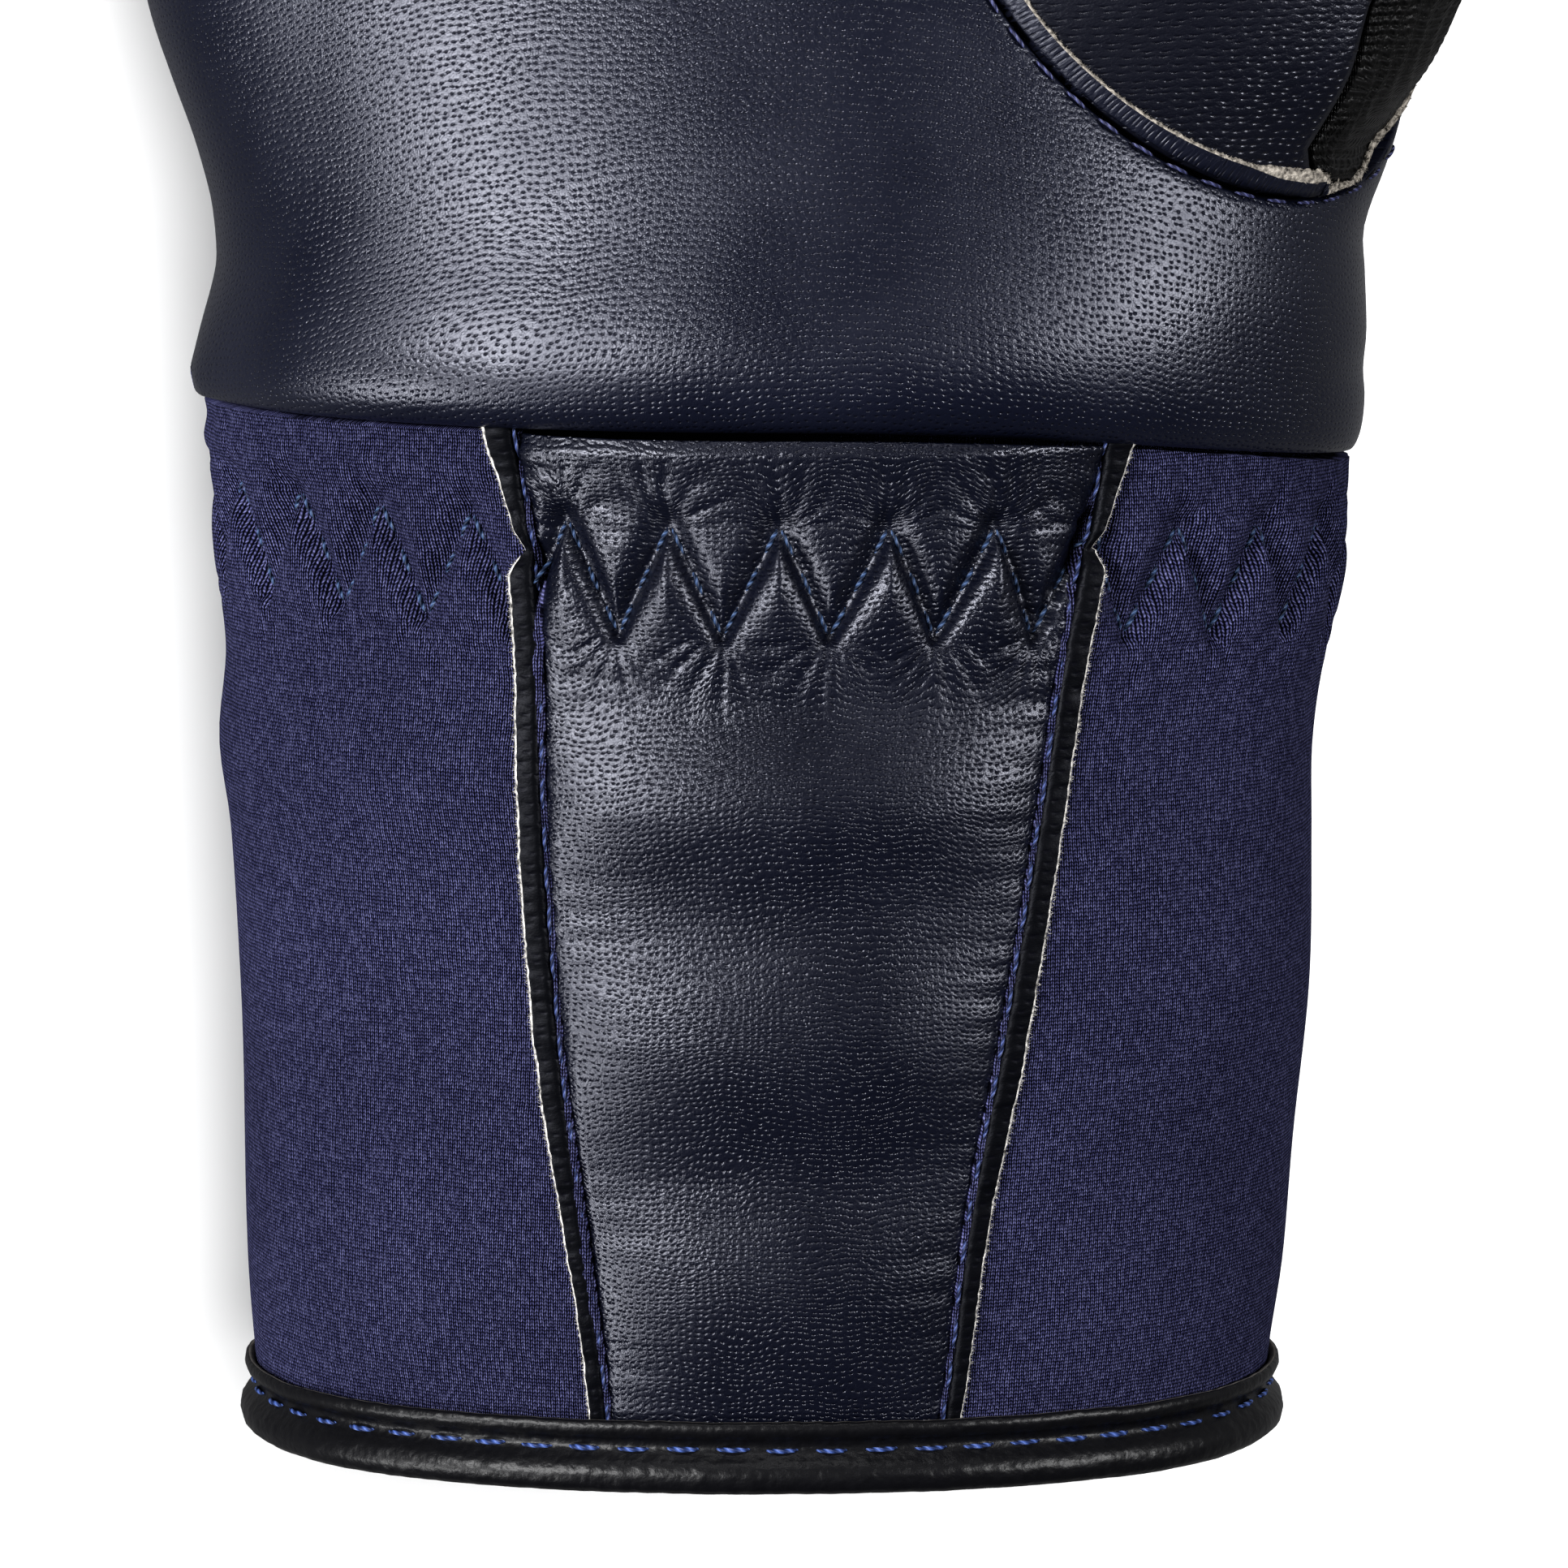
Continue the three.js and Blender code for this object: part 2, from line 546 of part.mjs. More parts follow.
function fingerLoop(skin, f, ring) {
  const finger = FINGERS[f];
  const hasStrip = { left: f > 0, right: f < FINGERS.length - 1 };
  const palm = [];
  const back = [];
  if (ring < 0) {
    for (let i = 0; i <= PER_FINGER; i += 1) {
      palm.push(palmVertex(skin, WRAP + f * PER_FINGER + i, KNUCKLE_ROW));
      back.push(backVertex(skin, f * PER_FINGER + i, KNUCKLE_ROW));
    }
    const partingMiddle = (side) => skin.point(`parting ${side}`, () => {
      const at = PARTINGS[side];
      const next = FINGERS[side];
      return new THREE.Vector3(at.x, at.y - PARTING_DIP, next.baseHigh - FINGER_FLATTENED);
    });
    const left = hasStrip.left ? partingMiddle(f) : palmVertex(skin, 1, KNUCKLE_ROW);
    const right = hasStrip.right ? partingMiddle(f + 1) : palmVertex(skin, LAST_COLUMN - 1, KNUCKLE_ROW);
    return { palm, back, left, right };
  }
  if (ring > LAST_RING) {
    const tip = (name, share) => {
      const made = skin.point(`tip ${f} ${name}`, () => {
        const point = fingerPoint(finger, 0, finger.tipY, TIP_GIRTH);
        const middle = fingerPoint(finger, 90, finger.tipY, 0);
        return middle.clone().setX(lerp(2 * middle.x - point.x, point.x, share));
      });
      skin.fixedNormals.set(made, new THREE.Vector3(0, 1, 0));
      return made;
    };
    for (let i = 0; i <= PER_FINGER; i += 1) {
      const share = i / PER_FINGER;
      const palmShare = lerp(hasStrip.left ? 0 : TIP_SHARES.palm, hasStrip.right ? 1 : 1 - TIP_SHARES.palm, share);
      palm.push(tip(`palm ${i}`, palmShare));
      back.push(tip(`back ${i}`, share));
    }
    return { palm, back, left: tip('left', TIP_SHARES.side), right: tip('right', 1 - TIP_SHARES.side) };
  }
  const meets = ring === LAST_RING;
  const y = ringY(finger, ring);
  const girth = FINGER_RINGS[ring].girth ?? 1;
  const start = meets && hasStrip.left ? 0 : SEAM_ANGLE;
  const end = meets && hasStrip.right ? 0 : SEAM_ANGLE;
  const at = (name, angle) => skin.point(`finger ${f} ${ring} ${name}`, () => fingerPoint(finger, angle, y, girth));
  const left = at('left', 180);
  const right = at('right', 0);
  for (let i = 0; i <= PER_FINGER; i += 1) {
    const share = i / PER_FINGER;
    const joinsLeft = i === 0 && start === 0;
    const joinsRight = i === PER_FINGER && end === 0;
    const join = joinsLeft ? left : right;
    const joined = joinsLeft || joinsRight;
    palm.push(joined ? join : at(`palm ${i}`, lerp(180 - start, end, share)));
    back.push(joined ? join : at(`back ${i}`, lerp(180 + start, 360 - end, share)));
  }
  return { palm, back, left, right };
}

function stripName(f) {
  return `fourchette_${FINGERS[f].name}_${FINGERS[f + 1].name}`;
}

function addFinger(skin, f) {
  for (let ring = -1; ring <= LAST_RING; ring += 1) {
    const here = fingerLoop(skin, f, ring);
    const there = fingerLoop(skin, f, ring + 1);
    for (let i = 0; i < PER_FINGER; i += 1) {
      skin.face('palm_panel', here.palm[i], here.palm[i + 1], there.palm[i + 1], there.palm[i]);
      skin.face('back_panel', here.back[i + 1], here.back[i], there.back[i], there.back[i + 1]);
    }
    const beyondStrip = ring === LAST_RING;
    const last = PER_FINGER;
    if (f === 0 || !beyondStrip) {
      const panel = f === 0 ? 'palm_panel' : stripName(f - 1);
      skin.face(panel, here.back[0], here.left, there.left, there.back[0]);
      skin.face(panel, here.left, here.palm[0], there.palm[0], there.left);
    }
    if (f === FINGERS.length - 1 || !beyondStrip) {
      const panel = f === FINGERS.length - 1 ? 'palm_panel' : stripName(f);
      skin.face(panel, here.palm[last], here.right, there.right, there.palm[last]);
      skin.face(panel, here.right, here.back[last], there.back[last], there.right);
    }
  }
}

// The thumb

// The palm's vertices around the seat, from its wrist end towards the thumb side and round
function seatLoop(skin) {
  const { column: middle, row, halfColumns, halfRows } = SEAT_BLOCK;
  const low = row - halfRows;
  const high = row + halfRows;
  const loop = [];
  for (let i = middle; i < middle + halfColumns; i += 1) loop.push([i, low]);
  for (let r = low; r < high; r += 1) loop.push([middle + halfColumns, r]);
  for (let i = middle + halfColumns; i > middle - halfColumns; i -= 1) loop.push([i, high]);
  for (let r = high; r > low; r -= 1) loop.push([middle - halfColumns, r]);
  for (let i = middle - halfColumns; i < middle; i += 1) loop.push([i, low]);
  return loop.map(([index, r]) => {
    const edge = seatEdge((index - middle) / halfColumns, (r - row) / halfRows);
    return { vertex: palmVertex(skin, index, r), turn: edge.turn };
  });
}

// Angle round the thumb of a column of its seat, from its back edge over its palm side
function thumbAngle(loop, k, ring) {
  const plain = (step) => {
    const fromWrist = loop[step % loop.length].turn + 90 + (step === loop.length ? 360 : 0);
    const wrapped = fromWrist < 0 ? fromWrist + 360 : fromWrist;
    return -wrapped + THUMB_TWIST * (0.5 + 0.5 * Math.cos(wrapped * DEGREE));
  };
  const middle = (plain(0) + plain(GUSSET_COLUMNS)) / 2;
  const half = ((plain(0) - plain(GUSSET_COLUMNS)) / 2) * (GUSSET_TAPER[ring] ?? GUSSET_TAPER.at(-1));
  if (k <= GUSSET_COLUMNS) {
    return middle + half * (1 - (2 * (plain(0) - plain(k))) / (plain(0) - plain(GUSSET_COLUMNS)));
  }
  const share = (plain(GUSSET_COLUMNS) - plain(k)) / (plain(GUSSET_COLUMNS) - plain(loop.length));
  return middle - half - share * (360 - 2 * half);
}

function thumbPoint(ring, seat, angle) {
  const at = THUMB_RINGS[ring];
  const outward = new THREE.Vector3(Math.cos(at.turn * DEGREE), -Math.sin(at.turn * DEGREE), 0);
  const onRing = new THREE.Vector3(at.x, at.y, at.z)
    .addScaledVector(outward, at.wide * Math.cos(angle * DEGREE));
  onRing.z += at.high * Math.sin(angle * DEGREE);
  return seat.clone().lerp(onRing, at.share);
}

function addThumb(skin) {
  const loop = seatLoop(skin);
  const vertex = (ring, k) => {
    const { vertex: seat } = loop[k % loop.length];
    if (ring < 0) return seat;
    if (ring === THUMB_RINGS.length) {
      return skin.point('thumb tip', () => new THREE.Vector3(THUMB_TIP.x, THUMB_TIP.y, THUMB_TIP.z));
    }
    const step = k % loop.length;
    return skin.point(`thumb ${ring} ${step}`, () => {
      return thumbPoint(ring, skin.points[seat], thumbAngle(loop, step, ring));
    });
  };
  for (let ring = -1; ring < THUMB_RINGS.length; ring += 1) {
    for (let k = 0; k < loop.length; k += 1) {
      const gusset = k < GUSSET_COLUMNS && ring < GUSSET_TAPER.length - 1;
      skin.face(gusset ? 'thumb_gusset' : 'thumb_leather', vertex(ring, k), vertex(ring, k + 1),
        vertex(ring + 1, k + 1), vertex(ring + 1, k));
    }
  }
  return { loop, vertex };
}

// The turned-out seam allowance around the thumb's seat lies over the thumb
function thumbFlangeGeometry(skin, { loop, vertex }) {
  const { near, far, lift, thick, first, last } = THUMB_FLANGE;
  const sections = [];
  for (let step = first; step <= last; step += 1) {
    const k = step % loop.length;
    const corner = skin.points[vertex(-1, k)];
    const towards = skin.points[vertex(0, k)].clone().sub(corner).normalize();
    const tangent = skin.points[vertex(-1, k + 1)].clone()
      .sub(skin.points[vertex(-1, k + loop.length - 1)]).normalize();
    const up = tangent.clone().cross(towards).normalize();
    const across = up.clone().cross(tangent).normalize();
    const at = (out, high) => corner.clone().addScaledVector(across, out).addScaledVector(up, high);
    sections.push([at(far, lift), at(far, lift + thick), at(near, lift + thick), at(near, lift)]);
  }
  return loftGeometry(sections, false);
}

// The cuff

// Angles around the wrist half a tooth apart along its girth, starting from a peak on the crest
function zigzagAngles() {
  const steps = 720;
  const start = angleAt(ZIGZAG.firstPeak, ZIGZAG.y);
  const angles = Array.from({ length: steps + 1 }, (_, i) => start - (360 * i) / steps);
  const lengths = [0];
  for (let i = 1; i <= steps; i += 1) {
    const step = sleevePoint(angles[i], ZIGZAG.y).distanceTo(sleevePoint(angles[i - 1], ZIGZAG.y));
    lengths.push(lengths[i - 1] + step);
  }
  const halfTeeth = ZIGZAG.teeth * 2;
  return Array.from({ length: halfTeeth }, (_, k) => {
    const wanted = (lengths[steps] * k) / halfTeeth;
    const i = Math.max(lengths.findIndex((length) => length > wanted), 1);
    const share = (wanted - lengths[i - 1]) / (lengths[i] - lengths[i - 1]);
    return { angle: lerp(angles[i - 1], angles[i], share), peak: k % 2 === 0 };
  });
}

const CUFF_ROWS = [
  { fromHem: CUFF_START, tooth: 0, out: 0 },
  { y: 13, tooth: 0, out: 0 },
  { y: 27, tooth: 0, out: 0 },
  { y: 39, tooth: 0, out: 0 },
  { y: 49, tooth: 0.25, out: 0 },
  { fromZigzag: -ZIGZAG.lip, tooth: 1, out: ZIGZAG.puff },
  { fromZigzag: 0, tooth: 1, out: ZIGZAG.groove },
  { fromZigzag: ZIGZAG.lip, tooth: 1, out: ZIGZAG.puff },
  { fromFold: -0.3, tooth: 0, out: 0 },
];

function cuffRowY(row, angle) {
  const { fromHem, y, fromZigzag, fromFold } = CUFF_ROWS[row];
  if (fromHem !== undefined) return slanted(HEM, angle) + fromHem;
  if (fromZigzag !== undefined) return slanted(ZIGZAG, angle) + fromZigzag;
  if (fromFold !== undefined) return slanted(FOLD, angle) + fromFold;
  return y;
}

function insetEdge(side, y) {
  return angleAt(column(INSET, side, y), y);
}

// Degrees from one angle down to another
function turn(from, to) {
  return (((from - to) % 360) + 360) % 360;
}

// Columns of a cuff panel: its two seams and the teeth between them, as shares of its breadth
function panelColumns(fromAngle, breadth) {
  const teeth = zigzagAngles()
    .map(({ angle, peak }) => ({ share: turn(fromAngle, angle) / breadth, height: peak ? 1 : -1 }))
    .filter(({ share }) => share > TOOTH_CLEAR.first / ZIGZAG.teeth && share < 1 - TOOTH_CLEAR.last / ZIGZAG.teeth)
    .sort((a, b) => a.share - b.share);
  return [{ share: 0, height: 0 }, ...teeth, { share: 1, height: 0 }];
}

function addCuffPanel(skin, panel, from, to) {
  const fromAngle = insetEdge(from, ZIGZAG.y);
  const breadth = turn(fromAngle, insetEdge(to, ZIGZAG.y));
  const columns = panelColumns(fromAngle, breadth);
  const vertex = (i, row) => {
    const { share, height } = columns[i];
    const onSeam = { 0: from, [columns.length - 1]: to }[i];
    const name = onSeam ? `${onSeam} seam ${row}` : `${panel} ${i} ${row}`;
    return skin.point(name, () => {
      const plainY = cuffRowY(row, fromAngle - share * breadth);
      const start = insetEdge(from, plainY);
      const angle = start - share * turn(start, insetEdge(to, plainY));
      const y = cuffRowY(row, angle) + height * CUFF_ROWS[row].tooth * ZIGZAG.reach;
      return sleevePoint(angle, y, CUFF_ROWS[row].out);
    });
  };
  for (let row = 0; row + 1 < CUFF_ROWS.length; row += 1) {
    for (let i = 0; i + 1 < columns.length; i += 1) {
      skin.face(panel, vertex(i, row), vertex(i + 1, row), vertex(i + 1, row + 1), vertex(i, row + 1));
    }
  }
}

// The turned-out seam allowance of the inset lies over the knit beside each of its seams
function cuffFlangeGeometry(side) {
  const outward = side === 'left' ? 1 : -1;
  const sections = Array.from({ length: FLANGE.steps + 1 }, (_, i) => {
    const y = lerp(FLANGE.start, FLANGE.end, i / FLANGE.steps);
    const seam = insetEdge(side, y);
    const perDegree = sleevePoint(seam, y).distanceTo(sleevePoint(seam + 1, y));
    const nearZigzag = 1 - smooth(Math.abs(y - ZIGZAG.y), FLANGE.fullPuff, FLANGE.noPuff);
    const lift = FLANGE.lift + ZIGZAG.puff * nearZigzag;
    const at = (distance, high) => sleevePoint(seam + (outward * distance) / perDegree, y, lift + high);
    const section = [at(FLANGE.near, 0), at(FLANGE.near, FLANGE.thick), at(FLANGE.far, FLANGE.thick), at(FLANGE.far, 0)];
    return side === 'left' ? section.reverse() : section;
  });
  return loftGeometry(sections, false);
}

function bindingGeometry() {
  const sections = Array.from({ length: BINDING_STATIONS }, (_, i) => {
    const angle = (360 * i) / BINDING_STATIONS;
    return BINDING.map(({ out, y }) => sleevePoint(angle, slanted(HEM, angle) + y, out));
  });
  return loftGeometry(sections, true);
}

// The glove

const handSkin = new Skin();
addHand(handSkin);
FINGERS.forEach((_, f) => addFinger(handSkin, f));
const thumb = addThumb(handSkin);

const cuffSkin = new Skin();
addCuffPanel(cuffSkin, 'cuff_inset', 'left', 'right');
addCuffPanel(cuffSkin, 'cuff_knit', 'right', 'left');

const glove = new THREE.Group();
glove.add(mesh('palm_panel', handSkin.panelGeometry('palm_panel'), 'leather'));
glove.add(mesh('back_panel', handSkin.panelGeometry('back_panel'), 'knit'));
for (let f = 0; f + 1 < FINGERS.length; f += 1) {
  glove.add(mesh(stripName(f), handSkin.panelGeometry(stripName(f)), 'rib'));
}
glove.add(mesh('thumb_leather', handSkin.panelGeometry('thumb_leather'), 'leather'));
glove.add(mesh('thumb_gusset', handSkin.panelGeometry('thumb_gusset'), 'rib'));
glove.add(mesh('thumb_seam_flange', thumbFlangeGeometry(handSkin, thumb), 'leather'));
glove.add(mesh('cuff_inset', cuffSkin.panelGeometry('cuff_inset'), 'leather'));
glove.add(mesh('cuff_knit', cuffSkin.panelGeometry('cuff_knit'), 'knit'));
glove.add(mesh('cuff_flange_left', cuffFlangeGeometry('left'), 'leather'));
glove.add(mesh('cuff_flange_right', cuffFlangeGeometry('right'), 'leather'));
glove.add(mesh('hem_binding', bindingGeometry(), 'binding'));

// The origin is on the table under the middle of the glove
const box = new THREE.Box3().setFromObject(glove);
const middle = box.getCenter(new THREE.Vector3());
for (const piece of glove.children) piece.position.set(-middle.x, -middle.y, 0);

export default glove;
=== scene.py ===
import bisect
import math
import random

import bmesh
import bpy
from mathutils import Matrix, Vector, noise
from mathutils.bvhtree import BVHTree


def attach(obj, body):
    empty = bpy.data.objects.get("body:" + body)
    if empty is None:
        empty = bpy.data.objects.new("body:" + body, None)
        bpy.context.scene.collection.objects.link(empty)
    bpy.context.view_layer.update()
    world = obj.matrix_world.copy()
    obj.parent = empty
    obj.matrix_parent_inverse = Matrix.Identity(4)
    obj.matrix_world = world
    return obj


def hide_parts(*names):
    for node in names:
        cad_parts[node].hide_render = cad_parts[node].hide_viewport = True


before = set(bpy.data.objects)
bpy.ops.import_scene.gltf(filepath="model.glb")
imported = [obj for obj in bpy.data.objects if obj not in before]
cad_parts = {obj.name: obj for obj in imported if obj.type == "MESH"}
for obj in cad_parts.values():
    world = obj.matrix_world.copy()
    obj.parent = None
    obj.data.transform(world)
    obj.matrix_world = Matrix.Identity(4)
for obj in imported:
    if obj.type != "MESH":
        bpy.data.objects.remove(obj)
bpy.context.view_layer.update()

# Camera: high over the hand, leaning a little towards the hem of the cuff
camera = bpy.data.objects.new("camera", bpy.data.cameras.new("camera"))
camera.data.sensor_width = 36
camera.data.lens = 140.05
camera.location = (-0.012589, -0.006124, 0.425)
camera.rotation_euler = (math.radians(-9.7208), 0, 0)
bpy.context.collection.objects.link(camera)
bpy.context.scene.camera = camera


# The table and the studio light.
# A plain pale table top, and a weak pale room all round. Soft lamps at the left, at the right and
# beyond the fingers leave their broad shine on both shoulders of the palm.
def wired(tree, kind, inputs=None, **settings):
    """A new shader node with its settings, and each input set to a value or joined to a socket."""
    made = tree.nodes.new(kind)
    for name, value in settings.items():
        setattr(made, name, value)
    for name, value in (inputs or {}).items():
        if isinstance(value, bpy.types.NodeSocket):
            tree.links.new(value, made.inputs[name])
        else:
            made.inputs[name].default_value = value
    return made


def plain_material(name, roughness=0.5, specular=0.5):
    """A new material with its Principled shader."""
    material = bpy.data.materials.new(name)
    material.use_nodes = True
    shader = material.node_tree.nodes["Principled BSDF"]
    shader.inputs["Roughness"].default_value = roughness
    shader.inputs["Specular IOR Level"].default_value = specular
    return material, material.node_tree, shader


def piece_from(shape, name):
    """An object in the scene with the mesh that a bmesh holds."""
    piece = bpy.data.objects.new(name, bpy.data.meshes.new(name))
    shape.to_mesh(piece.data)
    shape.free()
    bpy.context.collection.objects.link(piece)
    return piece


TABLE_SIZE = 3.0
table_mesh = bmesh.new()
bmesh.ops.create_grid(table_mesh, x_segments=2, y_segments=2, size=TABLE_SIZE / 2)
table = piece_from(table_mesh, "table_top")
white, white_tree, white_shader = plain_material("pale_table", roughness=0.7)
table_mottle = wired(white_tree, "ShaderNodeTexNoise", {"Scale": 9.0, "Detail": 2.0})
table_tone = wired(white_tree, "ShaderNodeMapRange", {
    "Value": table_mottle.outputs["Fac"], "To Min": 0.84, "To Max": 0.86,
})
# The table looks pale, but throws only a little light back up on the glove
seen = wired(white_tree, "ShaderNodeLightPath").outputs["Is Camera Ray"]
table_colour = wired(white_tree, "ShaderNodeMix", {
    0: seen, 2: 0.14, 3: table_tone.outputs["Result"],
})
white_tree.links.new(table_colour.outputs[0], white_shader.inputs["Base Color"])
table.data.materials.append(white)


# The table has a lamp of its own, so that the glove's soft shadow falls to the left alone
table_only = bpy.data.collections.new("table_only")
table_only.objects.link(table)
all_but_table = bpy.data.collections.new("all_but_table")
all_but_table.objects.link(table)
all_but_table.collection_objects[0].light_linking.link_state = "EXCLUDE"


def softbox(name, width, height, power, place, aim, lights):
    """A soft lamp at a place, turned to what it lights."""
    lamp = bpy.data.lights.new(name, "AREA")
    lamp.shape = "RECTANGLE"
    lamp.size = width
    lamp.size_y = height
    lamp.energy = power
    lamp_object = bpy.data.objects.new(name, lamp)
    lamp_object.location = place
    lamp_object.rotation_euler = (Vector(aim) - Vector(place)).to_track_quat("-Z", "Y").to_euler()
    lamp_object.light_linking.receiver_collection = lights
    bpy.context.collection.objects.link(lamp_object)


softbox("lamp_left", 0.24, 0.42, 15.8, (-0.57, 0.12, 0.80), (-0.02, -0.02, 0.03), all_but_table)
softbox("lamp_low_left", 0.20, 0.26, 6.2, (-0.72, -0.42, 0.47), (-0.03, -0.05, 0.03), all_but_table)
softbox("lamp_right", 0.15, 0.38, 12.0, (0.86, 0.16, 0.66), (0.0, -0.02, 0.03), all_but_table)
softbox("lamp_fingers", 0.7, 0.12, 3.4, (0.02, 1.05, 0.62), (0.0, 0.0, 0.02), all_but_table)
softbox("lamp_table", 0.7, 0.7, 17.0, (0.13, 0.12, 0.9), (0.0, 0.0, 0.0), table_only)

room = bpy.data.worlds.new("pale_room")
room.use_nodes = True
room.node_tree.nodes["Background"].inputs["Color"].default_value = (0.93, 0.95, 1.0, 1)
room.node_tree.nodes["Background"].inputs["Strength"].default_value = 0.07
bpy.context.scene.world = room
bpy.context.scene.view_settings.view_transform = "Standard"
bpy.context.scene.view_settings.look = "Medium High Contrast"


# The hand's leather palm.
# One piece of grained navy-black leather from the wrist over the fronts of the fingers. Its lower
# edge is turned under and rolls out over the cuff, and it is sewn to the knit along both sides.
MAKER_X = 13.4536
MAKER_Y = 118.1241


def at(x, y, z):
    """A place in metres from the maker's millimetres, which start at the hem, mid-cuff."""
    return Vector(((x - MAKER_X) / 1000, (y - MAKER_Y) / 1000, z / 1000))


def smooth_step(low, high, value):
    """A soft rise from 0 at the low value to 1 at the high one."""
    share = min(max((value - low) / (high - low), 0), 1)
    return share * share * (3 - 2 * share)


# Distance from the hem, then the left and right edge, the crest and the underside of the sleeve
SLEEVE = [
    (-2, -34.8, 33.5, 42.0, 2.2), (4, -35.3, 34.0, 42.2, 2.0), (10, -35.7, 34.7, 42.5, 0.7),
    (20, -35.8, 35.5, 43.0, 0), (30, -35.9, 36.4, 43.4, 0), (40, -36.2, 36.5, 43.3, 0),
    (46, -36.9, 36.4, 43.0, 0), (52, -36.4, 37.0, 42.5, 0), (58, -36.8, 38.0, 41.8, 0),
    (63, -37.1, 38.5, 41.6, 0), (67, -37.9, 38.7, 42.0, 0), (70, -38.4, 38.9, 42.6, 0),
    (76, -37.4, 39.4, 43.6, 0), (80, -37.0, 39.6, 43.4, 0), (85, -38.0, 40.3, 42.6, 0),
    (90, -39.5, 41.3, 41.2, 0), (98, -41.4, 42.4, 39.4, 0), (110, -43.4, 43.1, 36.0, 0),
    (125, -44.7, 43.1, 31.8, 0), (141, -44.9, 42.6, 28.0, 0), (157, -44.0, 42.4, 24.5, 0),
]
FLATTENED = 2.5


def along(rows, place, position):
    """One column of a table of rows as a smooth curve along the first column."""
    if position <= rows[0][0]:
        return rows[0][place]
    if position >= rows[-1][0]:
        return rows[-1][place]
    i = next(k for k in range(len(rows) - 1) if position <= rows[k + 1][0])
    step = rows[i + 1][0] - rows[i][0]

    def slope(a, b):
        return (rows[b][place] - rows[a][place]) / (rows[b][0] - rows[a][0]) * step

    start, end = slope(max(i - 1, 0), i + 1), slope(i, min(i + 2, len(rows) - 1))
    t = (position - rows[i][0]) / step
    return (
        (2 * t**3 - 3 * t**2 + 1) * rows[i][place] + (t**3 - 2 * t**2 + t) * start
        + (3 * t**2 - 2 * t**3) * rows[i + 1][place] + (t**3 - t**2) * end
    )


SLEEVE_START, SLEEVE_STEP = SLEEVE[0][0], 0.5
SLEEVE_LINES = [
    [along(SLEEVE, k, SLEEVE_START + SLEEVE_STEP * i) for k in range(1, 5)]
    for i in range(int((SLEEVE[-1][0] - SLEEVE_START) / SLEEVE_STEP) + 2)
]


def sleeve_ring(y, out=0.0):
    """Middle, half width, mid-height and half height of the sleeve, and its underside."""
    up = min(max((y - SLEEVE_START) / SLEEVE_STEP, 0), len(SLEEVE_LINES) - 1.001)
    i = int(up)
    left, right, top, under = (
        a + (b - a) * (up - i) for a, b in zip(SLEEVE_LINES[i], SLEEVE_LINES[i + 1])
    )
    middle = (top - FLATTENED) / 2
    return (left + right) / 2, (right - left) / 2 + out, middle, top + out - middle, under - out


def arc_round(x, y, z, from_back=False):
    """How far a point lies round the hand from its crest, or from the middle of its back."""
    middle, wide, height, high, _ = sleeve_ring(y)
    upright = height - z if from_back else z - height
    turn = math.atan2((x - middle) / wide, upright / high)
    steps = 10
    length = sum(
        math.hypot(wide * math.cos(turn * (k + 0.5) / steps), high * math.sin(turn * (k + 0.5) / steps))
        for k in range(steps)
    )
    return length * turn / steps


def settled(piece):
    """The piece with its modifiers worked into its mesh."""
    finished = bpy.data.meshes.new_from_object(
        piece.evaluated_get(bpy.context.evaluated_depsgraph_get())
    )
    piece.modifiers.clear()
    piece.data = finished
    return piece


def rounded(piece, levels):
    """The piece with its faces subdivided into a soft form."""
    soften = piece.modifiers.new("soften", "SUBSURF")
    soften.levels = soften.render_levels = levels
    return settled(piece)


# Distance from the hem, then how far the hand pushes the little finger's and the thumb's side out
SIDES = [
    (60, 0, 0), (66, -0.5, 1.0), (69, 0.3, 1.0), (71, 0.3, 0.7), (73.5, 0.4, 0.7), (77.5, 0.4, 0.2),
    (80, 0, -0.2), (82, -0.2, 0.1), (84, -0.4, 0.6), (86.5, -0.6, 1.0), (89, -0.9, 1.1), (91, -1.1, 1.0),
    (93, -1.3, 0.5), (95.5, -1.4, -0.3), (98, -1.3, -0.5), (110, -1.2, 0), (125, -0.5, 0), (140, 0, 0),
]


def in_maker_millimetres(place):
    """A place in metres turned back into the maker's millimetres."""
    return place.x * 1000 + MAKER_X, place.y * 1000 + MAKER_Y, place.z * 1000


def pushed_out(x, y):
    """How far a point on either side of the hand is moved across it, in millimetres."""
    if x < 0:
        return along(SIDES, 1, y) * smooth_step(28, 37, -x)
    return along(SIDES, 2, y) * smooth_step(30, 39, x)


def eased(piece):
    """The piece with the sides of the hand pushed out."""
    for vertex in piece.data.vertices:
        x, y, _ = in_maker_millimetres(vertex.co)
        vertex.co.x += pushed_out(x, y) / 1000
    return piece


RIM_CREASE = 0.75


def sewn_copy(node, name, levels):
    """A soft copy of a panel's plain shell, with its rims kept a little sharp."""
    shell = bmesh.new()
    shell.from_mesh(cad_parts[node].data)
    bmesh.ops.remove_doubles(shell, verts=shell.verts, dist=1e-6)
    bmesh.ops.join_triangles(
        shell, faces=shell.faces,
        angle_face_threshold=math.radians(60), angle_shape_threshold=math.radians(80),
    )
    crease = shell.edges.layers.float.new("crease_edge")
    for edge in shell.edges:
        if edge.calc_face_angle(0) > math.radians(55):
            edge[crease] = RIM_CREASE
    for face in shell.faces:
        face.smooth = True
    return eased(rounded(piece_from(shell, name), levels))


